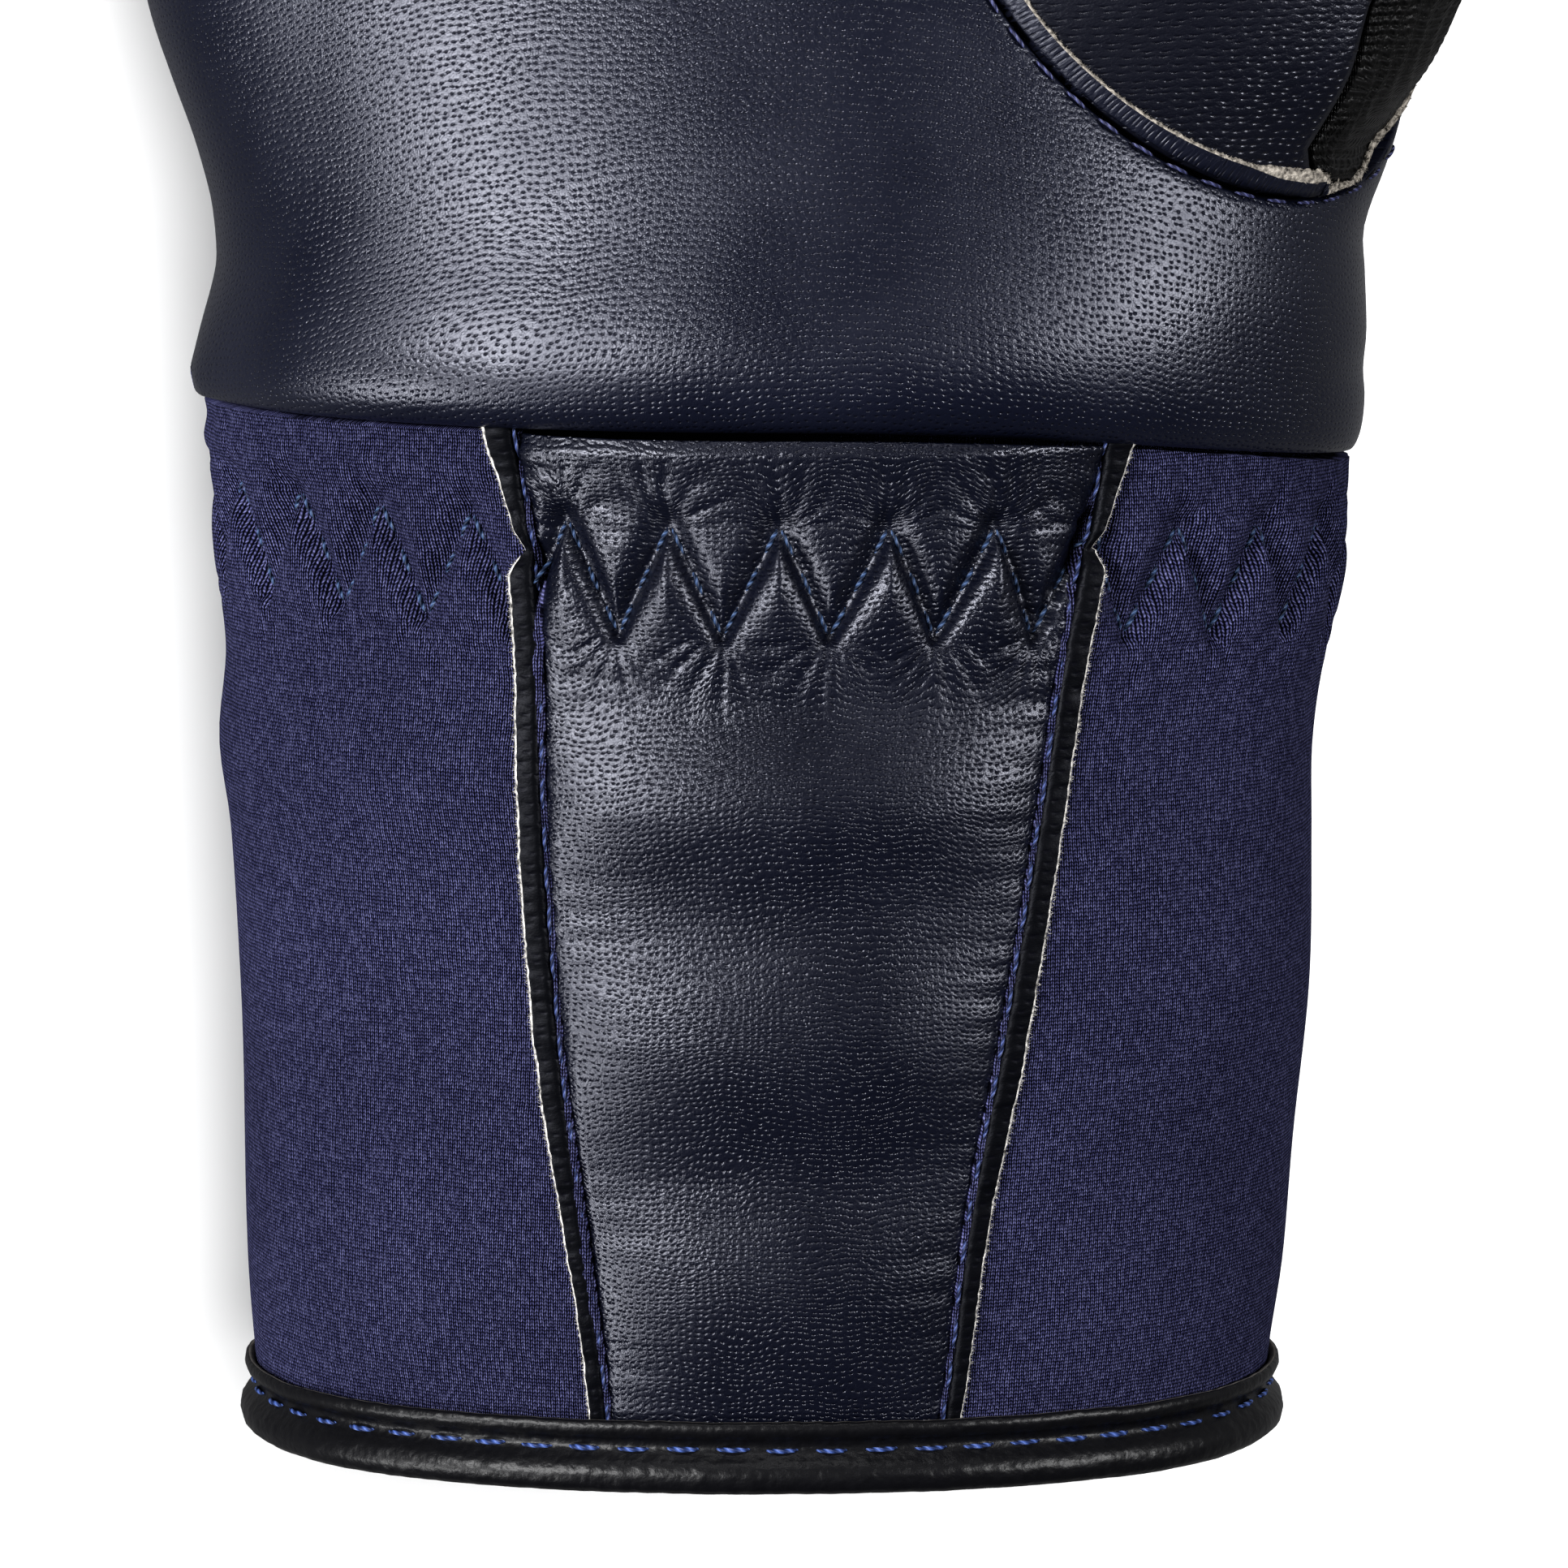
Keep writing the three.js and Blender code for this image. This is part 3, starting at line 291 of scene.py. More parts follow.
def lay_pattern(piece, unroll):
    """A UV map in millimetres, so that grain and knit follow the surface."""
    cloth = bmesh.new()
    cloth.from_mesh(piece.data)
    pattern = cloth.loops.layers.uv.verify()
    for vertex in cloth.verts:
        spot = unroll(*in_maker_millimetres(vertex.co))
        for loop in vertex.link_loops:
            loop[pattern].uv = spot
    cloth.to_mesh(piece.data)
    cloth.free()
    return piece


def over_palm(x, y, z):
    """Round the hand up to the knuckles, and straight across beyond them."""
    beyond = smooth_step(135, 158, y)
    round_hand = arc_round(x, min(y, 150), z) if beyond < 1 else 0
    # The rows of the grain arch over the middle of the palm
    arch = 7 * (1 - math.cos(min(max(x / 26, -1.5), 1.5)))
    return round_hand * (1 - beyond) + x * beyond, y + arch


def new_group(name, numbers, results):
    """An empty node group: a place in the pattern and some numbers go in, and numbers come out."""
    group = bpy.data.node_groups.new(name, "ShaderNodeTree")
    group.interface.new_socket(name="Pattern", in_out="INPUT", socket_type="NodeSocketVector")
    for in_out, titles in (("INPUT", numbers), ("OUTPUT", results)):
        for title in titles:
            group.interface.new_socket(name=title, in_out=in_out, socket_type="NodeSocketFloat")
    way_in, way_out = group.nodes.new("NodeGroupInput"), group.nodes.new("NodeGroupOutput")
    return group, way_in.outputs, way_out.inputs


def sum_of(tree, operation, *values):
    """The result of a Math node on sockets or numbers."""
    return wired(tree, "ShaderNodeMath", dict(enumerate(values)), operation=operation).outputs[0]


def vector_of(tree, operation, first, second):
    """The result of a Vector Math node on a socket and a vector, or on a socket and its scale."""
    place = "Scale" if operation == "SCALE" else 1
    made = wired(tree, "ShaderNodeVectorMath", {0: first, place: second}, operation=operation)
    return made.outputs[0]


def mottle_of(tree, place, scale, detail):
    """A soft noise from 0 to 1 at a place."""
    made = wired(tree, "ShaderNodeTexNoise", {"Vector": place, "Scale": scale, "Detail": detail})
    return made.outputs["Fac"]


def swayed_by(tree, pattern, scale, detail, amount):
    """The pattern's place, moved about by a soft noise."""
    drift = wired(tree, "ShaderNodeTexNoise", {"Vector": pattern, "Scale": scale, "Detail": detail})
    centred = vector_of(tree, "SUBTRACT", drift.outputs["Color"], (0.5, 0.5, 0.5))
    return vector_of(tree, "ADD", pattern, vector_of(tree, "SCALE", centred, amount))


def blended(tree, share, first, second):
    """Two colours mixed by a share. Each is three numbers or a socket."""
    first, second = (
        colour if isinstance(colour, bpy.types.NodeSocket) else (*colour, 1) for colour in (first, second)
    )
    made = wired(tree, "ShaderNodeMix", {0: share, 6: first, 7: second}, data_type="RGBA")
    return made.outputs[2]


def raise_surface(tree, shader, height, depth):
    """Bumps on the shader's surface from a height, with their depth in metres."""
    raised = wired(tree, "ShaderNodeBump", {"Distance": depth, "Height": height})
    tree.links.new(raised.outputs["Normal"], shader.inputs["Normal"])


DASH_THINNESS, DASH_SAG, ROW_THINNESS = 7.4, 0.05, 3.2
PORE_RISE, FINE_RISE = -0.8, 0.46

# Pores in short dashes, set in wavy rows with soft ropes of leather between them
grain, grain_in, grain_out = new_group(
    "leather_grain", ("Across", "Down", "Waver", "Short", "Rows"), ("Height", "Pores", "Cloudy"),
)
wavering = swayed_by(grain, grain_in["Pattern"], 0.09, 4.0, grain_in["Waver"])
pitch = wired(grain, "ShaderNodeCombineXYZ", {
    "X": grain_in["Across"], "Y": grain_in["Down"], "Z": 1.0,
})
lattice = vector_of(grain, "DIVIDE", wavering, pitch.outputs[0])
pore_cells = wired(grain, "ShaderNodeTexVoronoi", {
    "Vector": lattice, "Scale": 1.0, "Randomness": 0.5,
}, voronoi_dimensions="2D")
offset = wired(grain, "ShaderNodeSeparateXYZ", {
    "Vector": vector_of(grain, "SUBTRACT", lattice, pore_cells.outputs["Position"]),
})
dash_x = sum_of(grain, "POWER", sum_of(grain, "MULTIPLY", offset.outputs["X"], grain_in["Short"]), 2.0)
sagging = sum_of(grain, "MULTIPLY", dash_x, DASH_SAG)
lifted = sum_of(grain, "SUBTRACT", offset.outputs["Y"], sagging)
dash_y = sum_of(grain, "POWER", sum_of(grain, "MULTIPLY", lifted, DASH_THINNESS), 2.0)
from_pore = sum_of(grain, "ADD", dash_x, dash_y)
pores = sum_of(grain, "EXPONENT", sum_of(grain, "MULTIPLY", from_pore, -1.0))
row_y = sum_of(grain, "POWER", sum_of(grain, "MULTIPLY", lifted, ROW_THINNESS), 2.0)
row = sum_of(grain, "EXPONENT", sum_of(grain, "MULTIPLY", row_y, -1.0))
fine = mottle_of(grain, grain_in["Pattern"], 8.0, 2.0)
row_height = sum_of(grain, "MULTIPLY", row, grain_in["Rows"])
pored_height = sum_of(grain, "MULTIPLY_ADD", pores, PORE_RISE, row_height)
grain_height = sum_of(grain, "MULTIPLY_ADD", fine, FINE_RISE, pored_height)
grain.links.new(grain_height, grain_out["Height"])
grain.links.new(pores, grain_out["Pores"])
grain.links.new(mottle_of(grain, grain_in["Pattern"], 0.11, 3.0), grain_out["Cloudy"])


def leather_material(name, dark, light, across=0.58, down=0.46, waver=4.0, short=4.6, rows=-0.2,
                     depth=0.000065, smoothest=0.27, dullest=0.36, specular=0.42):
    """Grained leather with painted shade in its pores, and a soft uneven shine."""
    material, tree, shader = plain_material(name, specular=specular)
    pattern = wired(tree, "ShaderNodeUVMap")
    skin = wired(tree, "ShaderNodeGroup", node_tree=grain)
    tree.links.new(pattern.outputs["UV"], skin.inputs["Pattern"])
    laid = {"Across": across, "Down": down, "Waver": waver, "Short": short, "Rows": rows}
    for title, value in laid.items():
        skin.inputs[title].default_value = value
    tint = blended(tree, skin.outputs["Cloudy"], dark, light)
    # Painted shade: the pores are darkened towards a shade colour
    pore_shade_share = sum_of(tree, "MULTIPLY", skin.outputs["Pores"], 0.7)
    tree.links.new(blended(tree, pore_shade_share, tint, PORE_SHADE), shader.inputs["Base Color"])
    gloss = wired(tree, "ShaderNodeMapRange", {
        "Value": skin.outputs["Cloudy"], "From Min": 0.3, "From Max": 0.7,
        "To Min": smoothest, "To Max": dullest,
    })
    tree.links.new(gloss.outputs["Result"], shader.inputs["Roughness"])
    raise_surface(tree, shader, skin.outputs["Height"], depth)
    shader.inputs["Specular Tint"].default_value = (*BLUISH_SHINE, 1)
    return material


# The painted shade colour of the pores
PORE_SHADE = (0.002, 0.002, 0.004)
BLUISH_SHINE = (0.87, 0.885, 1.0)
NAVY_DARK = (0.0023, 0.003, 0.0078)
NAVY_LIGHT = (0.004, 0.005, 0.0122)
palm_leather = leather_material(
    "palm_leather", NAVY_DARK, NAVY_LIGHT,
    across=0.53, down=0.46, waver=2.4, short=5.0, rows=-0.16, depth=0.00006,
)


def dressed(piece, material, slot, *nodes):
    """The piece gets its finish, rides on the glove and stands for its plain panels."""
    if piece.data.materials:
        piece.data.materials.clear()
    piece.data.materials.append(material)
    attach(piece, "root")
    if nodes:
        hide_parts(*nodes)
    return piece


palm = lay_pattern(sewn_copy("palm_panel", "palm", 3), over_palm)
dressed(palm, palm_leather, "leather", "palm_panel")


# The back of the hand and of the fingers.
# A fine stretch knit, cut in one piece and sewn to the palm along the sides and to the strips
# between the fingers.
knit, knit_in, knit_out = new_group(
    "stretch_knit", ("Wale", "Course"), ("Height", "Gaps", "Glint", "Cloudy"),
)
swaying = swayed_by(knit, knit_in["Pattern"], 0.5, 2.0, 0.3)
spot = wired(knit, "ShaderNodeSeparateXYZ", {"Vector": swaying})
wales = sum_of(knit, "DIVIDE", spot.outputs["X"], knit_in["Wale"])
courses = sum_of(knit, "DIVIDE", spot.outputs["Y"], knit_in["Course"])
across_wale = sum_of(knit, "ABSOLUTE", sum_of(knit, "SUBTRACT", sum_of(knit, "FRACT", wales), 0.5))
leg = sum_of(knit, "MULTIPLY", sum_of(knit, "SUBTRACT", across_wale, 0.25), 4.0)
leg_round = sum_of(knit, "SUBTRACT", 1.0, sum_of(knit, "POWER", leg, 2.0))
slant = sum_of(knit, "MULTIPLY_ADD", across_wale, 1.1, courses)
loop_wave = sum_of(knit, "SINE", sum_of(knit, "MULTIPLY", slant, 2 * math.pi))
loop_lift = sum_of(knit, "MULTIPLY_ADD", loop_wave, 0.5, 0.5)
between_wales = sum_of(knit, "POWER", sum_of(knit, "MULTIPLY", across_wale, 2.0), 5.0)
column = sum_of(knit, "MULTIPLY", leg_round, sum_of(knit, "MULTIPLY_ADD", between_wales, -0.85, 1.0))
knit_height = sum_of(knit, "MULTIPLY", column, sum_of(knit, "MULTIPLY_ADD", loop_lift, 0.5, 0.5))
cell = wired(knit, "ShaderNodeCombineXYZ", {
    "X": sum_of(knit, "FLOOR", sum_of(knit, "MULTIPLY", wales, 2.0)), "Y": sum_of(knit, "FLOOR", slant),
})
# Loops picked at random for painted glints
sparkle = wired(knit, "ShaderNodeTexWhiteNoise", {"Vector": cell.outputs[0]}, noise_dimensions="2D")
sunk = sum_of(knit, "SUBTRACT", 1.0, knit_height)
knit.links.new(knit_height, knit_out["Height"])
knit.links.new(sunk, knit_out["Gaps"])
knit.links.new(sum_of(knit, "MULTIPLY", sparkle.outputs["Value"], knit_height), knit_out["Glint"])
knit.links.new(mottle_of(knit, knit_in["Pattern"], 0.07, 3.0), knit_out["Cloudy"])


def knit_material(name, yarn, shade, glint, wale=0.33, course=0.24, depth=0.00016):
    """Fine knit: painted shade between its loops, painted glints where a fibre would catch the light, and
    soft darker patches at random.
    """
    material, tree, shader = plain_material(name, roughness=0.85, specular=0.04)
    pattern = wired(tree, "ShaderNodeUVMap")
    loops = wired(tree, "ShaderNodeGroup", node_tree=knit)
    tree.links.new(pattern.outputs["UV"], loops.inputs["Pattern"])
    loops.inputs["Wale"].default_value = wale
    loops.inputs["Course"].default_value = course
    open_gaps = wired(tree, "ShaderNodeMapRange", {
        "Value": loops.outputs["Gaps"], "From Min": 0.1, "From Max": 0.62,
    }, interpolation_type="SMOOTHSTEP")
    # Painted shade: the gaps between the loops are darkened towards the shade colour
    base = blended(tree, open_gaps.outputs["Result"], yarn, shade)
    # Painted glints: some loops are made pale, as if a fibre caught the light
    lit = blended(tree, sum_of(tree, "POWER", loops.outputs["Glint"], 2.0), base, glint)
    cloudy_share = sum_of(tree, "MULTIPLY", loops.outputs["Cloudy"], 0.5)
    tree.links.new(blended(tree, cloudy_share, lit, shade), shader.inputs["Base Color"])
    raise_surface(tree, shader, loops.outputs["Height"], depth)
    return material


navy_knit = knit_material(
    "navy_knit", yarn=(0.079, 0.081, 0.196), shade=(0.0006, 0.0006, 0.003), glint=(0.21, 0.215, 0.42),
)


def over_back(x, y, z):
    """Round the back of the hand up to the knuckles, and straight across beyond them."""
    beyond = smooth_step(135, 158, y)
    round_hand = arc_round(x, min(y, 150), z, from_back=True) if beyond < 1 else 0
    return round_hand * (1 - beyond) + x * beyond, y


back = lay_pattern(sewn_copy("back_panel", "back", 2), over_back)
dressed(back, navy_knit, "knit", "back_panel")


# The ribbed strips between the fingers, and the gusset behind the thumb.
# Black stretch knit with fine ribs across it, so that the hand can spread. Each strip is sewn
# between the leather and the knit and ends in a point.
RIB_PITCH, RIB_HEIGHT, RIB_WANDER = 0.64, 0.14, 0.6
RIB_LOOP = 0.26


def rib_material(name, yarn, shade, depth=0.00018):
    """Ribs across the strip, each made of a row of small loops, with painted shade in their hollows and
    painted light on their tops.
    """
    material, tree, shader = plain_material(name, roughness=0.45, specular=0.2)
    place = vector_of(tree, "SCALE", wired(tree, "ShaderNodeTexCoord").outputs["Object"], 1000.0)
    spot_on = wired(tree, "ShaderNodeSeparateXYZ", {"Vector": place})
    bend = mottle_of(tree, place, 0.25, 2.0)
    bent_y = sum_of(tree, "MULTIPLY_ADD", bend, RIB_WANDER, spot_on.outputs["Y"])
    ridge = sum_of(tree, "SINE", sum_of(tree, "MULTIPLY", bent_y, 2 * math.pi / RIB_PITCH))
    along_rib = sum_of(tree, "ADD", spot_on.outputs["X"], spot_on.outputs["Z"])
    loops = sum_of(tree, "SINE", sum_of(tree, "MULTIPLY", along_rib, 2 * math.pi / RIB_LOOP))
    height = sum_of(tree, "MULTIPLY_ADD", ridge, 0.45, sum_of(tree, "MULTIPLY", loops, 0.25))
    rough_height = sum_of(tree, "MULTIPLY_ADD", mottle_of(tree, place, 3.0, 3.0), 0.7, height)
    # Painted shade in the hollows of the ribs and loops, and painted light on their tops, mottled a little
    # at random
    crest_light = wired(tree, "ShaderNodeMapRange", {
        "Value": rough_height, "From Min": 0.35, "From Max": 1.0,
    })
    tree.links.new(blended(tree, crest_light.outputs["Result"], shade, yarn), shader.inputs["Base Color"])
    raise_surface(tree, shader, rough_height, depth)
    return material


black_rib = rib_material("black_rib", yarn=(0.006, 0.0058, 0.0065), shade=(0.0002, 0.0002, 0.0003))
for fingers in ("little_ring", "ring_middle", "middle_index"):
    strip = sewn_copy("fourchette_" + fingers, "strip_" + fingers, 3)
    dressed(strip, black_rib, "rib", "fourchette_" + fingers)


def ribbed(piece):
    """Ribs raised out of the cloth itself, seen along its edge."""
    cloth = bmesh.new()
    cloth.from_mesh(piece.data)
    cloth.normal_update()
    for vertex in cloth.verts:
        bend = RIB_WANDER * (0.5 + 0.5 * noise.noise(vertex.co * 250))
        ridge = math.sin(2 * math.pi * (vertex.co.y * 1000 + MAKER_Y + bend) / RIB_PITCH)
        vertex.co += vertex.normal * (RIB_HEIGHT * 0.5 * (ridge - 1) / 1000)
    cloth.to_mesh(piece.data)
    cloth.free()
    return piece


def drawn_in(piece):
    """The seam between thumb and gusset, drawn a little towards the palm."""
    for vertex in piece.data.vertices:
        x, y, z = in_maker_millimetres(vertex.co)
        beside = x - (36.6 + 0.53 * (y - 86.5))
        near = math.exp(-((beside / 4.5) ** 2))
        here = smooth_step(83, 86.5, y) * (1 - smooth_step(104, 124, y)) * smooth_step(19, 27, z)
        shift = (2.6 * near + 1.3 * smooth_step(0, 6, beside)) * here / 1000
        vertex.co += Vector((-shift, 0, 0.45 * shift * near))
    return piece


gusset = drawn_in(ribbed(sewn_copy("thumb_gusset", "thumb_gusset_knit", 4)))
dressed(gusset, black_rib, "rib", "thumb_gusset")


# The thumb.
# A leather tube of the same hide, sewn into an oval seat in the side of the palm. The gusset
# closes it behind.
THUMB_AXIS = (36, 98, 0.45, 16)
THUMB_RADIUS = 15


def round_thumb(x, y, z):
    """Round the thumb from its crest, and along it."""
    start_x, start_y, lean, height = THUMB_AXIS
    return THUMB_RADIUS * math.atan2(x - start_x - lean * (y - start_y), z - height), y


thumb_leather_finish = leather_material(
    "thumb_leather", dark=(0.0015, 0.0018, 0.0044), light=(0.0025, 0.003, 0.0068),
    across=0.64, down=0.48, waver=1.5, smoothest=0.3,
)
thumb = lay_pattern(drawn_in(sewn_copy("thumb_leather", "thumb", 3)), round_thumb)
dressed(thumb, thumb_leather_finish, "leather", "thumb_leather")


# The cuff's knit.
# A sleeve of the same navy knit from the hem to the fold under the palm. An elastic inside it is
# held by a sunk zigzag of dark blue thread, which puckers the cloth above and below it.
HEM_LINE = (0, 0, 1.2)
ZIGZAG_LINE = (59.4, 1.5, 0.2)
FOLD_LINE = (68.8, 2.0, 1.6)
TEETH = 28
TOOTH_REACH = 3.6
FIRST_PEAK = 0.5
INSET = [
    (0, -10.2, 10.7), (9, -11.0, 11.8), (18, -12.1, 12.8), (29, -13.5, 14.8), (44, -14.5, 17.2),
    (58, -14.7, 19.2), (63, -15.3, 20.4), (69, -16.3, 21.5),
]


def slanted(line, turn):
    """The height of a line round the wrist at an angle from the thumb side over the crest."""
    height, slant, drop = line
    across = math.cos(math.radians(turn))
    return height - slant * across * abs(across) - drop * across * across


def on_sleeve(turn, y, out=0.0):
    """A point of the sleeve in the maker's millimetres."""
    middle, wide, height, high, under = sleeve_ring(y, out)
    z = height + high * math.sin(math.radians(turn))
    return Vector((middle + wide * math.cos(math.radians(turn)), y, max(z, under, 0)))


def turn_at(x, y):
    """The angle on the sleeve at a distance across it."""
    middle, wide, *_ = sleeve_ring(y)
    return math.degrees(math.acos((x - middle) / wide))


def seam_turn(side, y):
    """The angle of the inset's left seam, 1, or its right one, 2, at a distance from the hem."""
    return turn_at(along(INSET, side, y), y)


def outward_at(turn, y):
    """The way straight out of the sleeve."""
    return (on_sleeve(turn, y, 1) - on_sleeve(turn, y)).normalized()


def girth_table(y, steps=720):
    """Length round the wrist at each half degree, counted down from the first peak of the zigzag."""
    start = turn_at(FIRST_PEAK, y)
    lengths = [0.0]
    last = on_sleeve(start, y)
    for k in range(1, steps + 1):
        here = on_sleeve(start - 360 * k / steps, y)
        lengths.append(lengths[-1] + (here - last).length)
        last = here
    return start, lengths


PEAK_TURN, GIRTH = girth_table(ZIGZAG_LINE[0])
HALF_TOOTH = GIRTH[-1] / (2 * TEETH)


def girth_at(turn):
    """Millimetres round the wrist from the first peak."""
    down = (PEAK_TURN - turn) % 360 * (len(GIRTH) - 1) / 360
    k = min(int(down), len(GIRTH) - 2)
    return GIRTH[k] + (GIRTH[k + 1] - GIRTH[k]) * (down - k)


def zigzag_corner(k):
    """A corner of the zigzag, in millimetres round the wrist and above its middle line."""
    return k * HALF_TOOTH, TOOTH_REACH if k % 2 == 0 else -TOOTH_REACH


def from_zigzag(around, above):
    """The distance to the zigzag, and how far below it (or above, if negative) a point lies."""
    nearest = 99.0
    k = math.floor(around / HALF_TOOTH)
    for first in (k - 1, k, k + 1):
        (x0, y0), (x1, y1) = zigzag_corner(first), zigzag_corner(first + 1)
        dx, dy = x1 - x0, y1 - y0
        share = min(max(((around - x0) * dx + (above - y0) * dy) / (dx * dx + dy * dy), 0), 1)
        nearest = min(nearest, math.hypot(around - x0 - share * dx, above - y0 - share * dy))
    share = around / HALF_TOOTH - k
    start = zigzag_corner(k)[1]
    return nearest, start * (1 - 2 * share) - above


def uneven(x, y, z):
    """A soft random rise and fall, from about -1 to 1."""
    return noise.noise(Vector((x, y, z)))


def puckers(around, above, fans, sharpness, seed):
    """Creases that fan out from the corners of the zigzag, from 0 to 1."""
    total = 0.0
    k = round(around / HALF_TOOTH)
    for corner in (k - 1, k, k + 1):
        x, y = zigzag_corner(corner)
        away = 1 if corner % 2 == 0 else -1
        dx, dy = around - x, (above - y) * away
        reach = math.hypot(dx, dy)
        if dy < -0.6 or reach > 7:
            continue
        fan = math.atan2(dx, dy + 0.6)
        wander = 1.3 * uneven(corner * 3.7 + seed, reach * 0.25, fan)
        crease = 0.5 + 0.5 * math.cos(fans * fan + wander * 3 + corner)
        fade = math.exp(-(((reach - 1.8) / 2.6) ** 2)) * smooth_step(-0.6, 0.6, dy)
        total += fade * crease**sharpness
    return total


def relief_at(around, above, groove, groove_width, puff_below, puff_above, pucker, fans, seed):
    """How far the cloth stands out near the zigzag."""
    distance, below = from_zigzag(around, above)
    width = groove_width * (1 if below > 0 else 2.4)
    sunk = -groove * math.exp(-((distance / width) ** 2))
    fullness = 1 - math.exp(-((distance / (1.3 if below > 0 else 1.6)) ** 2))
    if below > 0:
        full = puff_below * fullness * (1 - smooth_step(-3.0, 9.0, -above))
    else:
        full = puff_above * fullness * (1 - smooth_step(2.0, 7.0, above))
    return sunk + full - pucker * puckers(around, above, fans, 2.0, seed)


def drop_between(high, low):
    """The angle down from one side to the other, going round where it has to."""
    return (high - low) % 360


def row_share(share, band=(50.5, 68.5), dense=0.55):
    """Rows of a cuff panel, closer together in the band of the zigzag."""
    if share < 1 - dense:
        return share / (1 - dense) * band[0] / band[1]
    return (band[0] + (share - 1 + dense) / dense * (band[1] - band[0])) / band[1]


def cuff_panel(name, columns, rows, first_side, last_side, relief, edge):
    """A panel of the cuff between two seams, laid as a grid and raised by its relief."""
    cloth = bmesh.new()
    bmesh.ops.create_grid(cloth, x_segments=columns, y_segments=rows, size=0.5)
    pattern = cloth.loops.layers.uv.new("pattern")
    rough_first, rough_last = (seam_turn(side, ZIGZAG_LINE[0]) for side in (first_side, last_side))
    width = drop_between(rough_first, rough_last)
    per_degree = GIRTH[-1] / 360
    trim = edge / per_degree
    for vertex in cloth.verts:
        across, up = vertex.co.x + 0.5, row_share(vertex.co.y + 0.5)
        rough_turn = rough_first - across * width
        low, top = slanted(HEM_LINE, rough_turn) + 1.1, slanted(FOLD_LINE, rough_turn) - 0.3
        y = low + (top - low) * up
        first, last = seam_turn(first_side, y), seam_turn(last_side, y)
        breadth = drop_between(first, last)
        turn = first - trim - across * (breadth - 2 * trim)
        around = girth_at(turn)
        if first_side == 1 and around > GIRTH[-1] / 2:
            around -= GIRTH[-1]
        out, bend = relief(turn, y, around, across, breadth * per_degree)
        vertex.co = at(*on_sleeve(turn, y, out))
        for loop in vertex.link_loops:
            loop[pattern].uv = (around, y + bend)
    for face in cloth.faces:
        face.smooth = True
    bmesh.ops.recalc_face_normals(cloth, faces=cloth.faces)
    if max(cloth.verts, key=lambda vertex: vertex.co.z).normal.z < 0:
        bmesh.ops.reverse_faces(cloth, faces=cloth.faces)
    panel = piece_from(cloth, name)
    wall = panel.modifiers.new("wall", "SOLIDIFY")
    wall.thickness = 0.0013
    wall.offset = -1
    return panel


def knit_relief(turn, y, around, across, breadth):
    """How far the knit stands out, and that its pattern isn't bent."""
    above = y - slanted(ZIGZAG_LINE, turn)
    out = relief_at(
        around, above, groove=0.9, groove_width=0.5, puff_below=0.75, puff_above=0.35,
        pucker=0.2, fans=9, seed=3,
    )
    out -= 0.6 * smooth_step(66.2, 68.4, y)
    soft = uneven(around * 0.06, y * 0.05, 4.0) * 0.5
    return out + soft * smooth_step(2, 12, y) * (1 - smooth_step(60, 66, y)), 0.0


cuff = cuff_panel("cuff_knit_sleeve", 400, 84, 2, 1, knit_relief, edge=-0.2)
dressed(cuff, navy_knit, "knit", "cuff_knit")


# The cuff's leather inset.
# A tapering tongue of the palm's leather, sewn into the knit along both sides and crossed by the
# zigzag. It is pulled into small puckers by the side stitches, and into fans by the zigzag.
def gathered(around, above):
    """How far the rows of the grain are drawn together at the corners of the zigzag."""
    drawn = 0.0
    nearest = round(around / HALF_TOOTH)
    for corner in (nearest - 1, nearest, nearest + 1):
        x, y = zigzag_corner(corner)
        beyond = (above - y) * (1 if corner % 2 == 0 else -1)
        if beyond > 0:
            tight = 0.5 * math.exp(-(((around - x) / 1.9) ** 2) - (beyond / 3.4) ** 2)
            drawn += (above - y) * (1 / (1 - tight) - 1)
    return drawn


# Soft waves up the inset: distance from the hem, and half turns of the wave
WAVES = [
    (0, -0.5), (6, 0), (17.5, 1), (24, 2), (33.5, 3), (42, 4), (48, 5), (56, 6), (61, 6.5), (69, 6.5),
]
WAVE_SLOPE, WAVE_STEP, WAVE_SINK = 0.22, 0.5, 0.2
WAVE_HEIGHTS = [0.0]
for i in range(int(WAVES[-1][0] / WAVE_STEP)):
    WAVE_HEIGHTS.append(
        WAVE_HEIGHTS[-1] + WAVE_SLOPE * WAVE_STEP * math.cos(math.pi * along(WAVES, 1, i * WAVE_STEP))
    )
CROWN = 4.2


def wave_at(y):
    """The height of the waves at a distance from the hem."""
    up = min(max(y / WAVE_STEP, 0), len(WAVE_HEIGHTS) - 1.001)
    i = int(up)
    return WAVE_HEIGHTS[i] + (WAVE_HEIGHTS[i + 1] - WAVE_HEIGHTS[i]) * (up - i) - WAVE_SINK


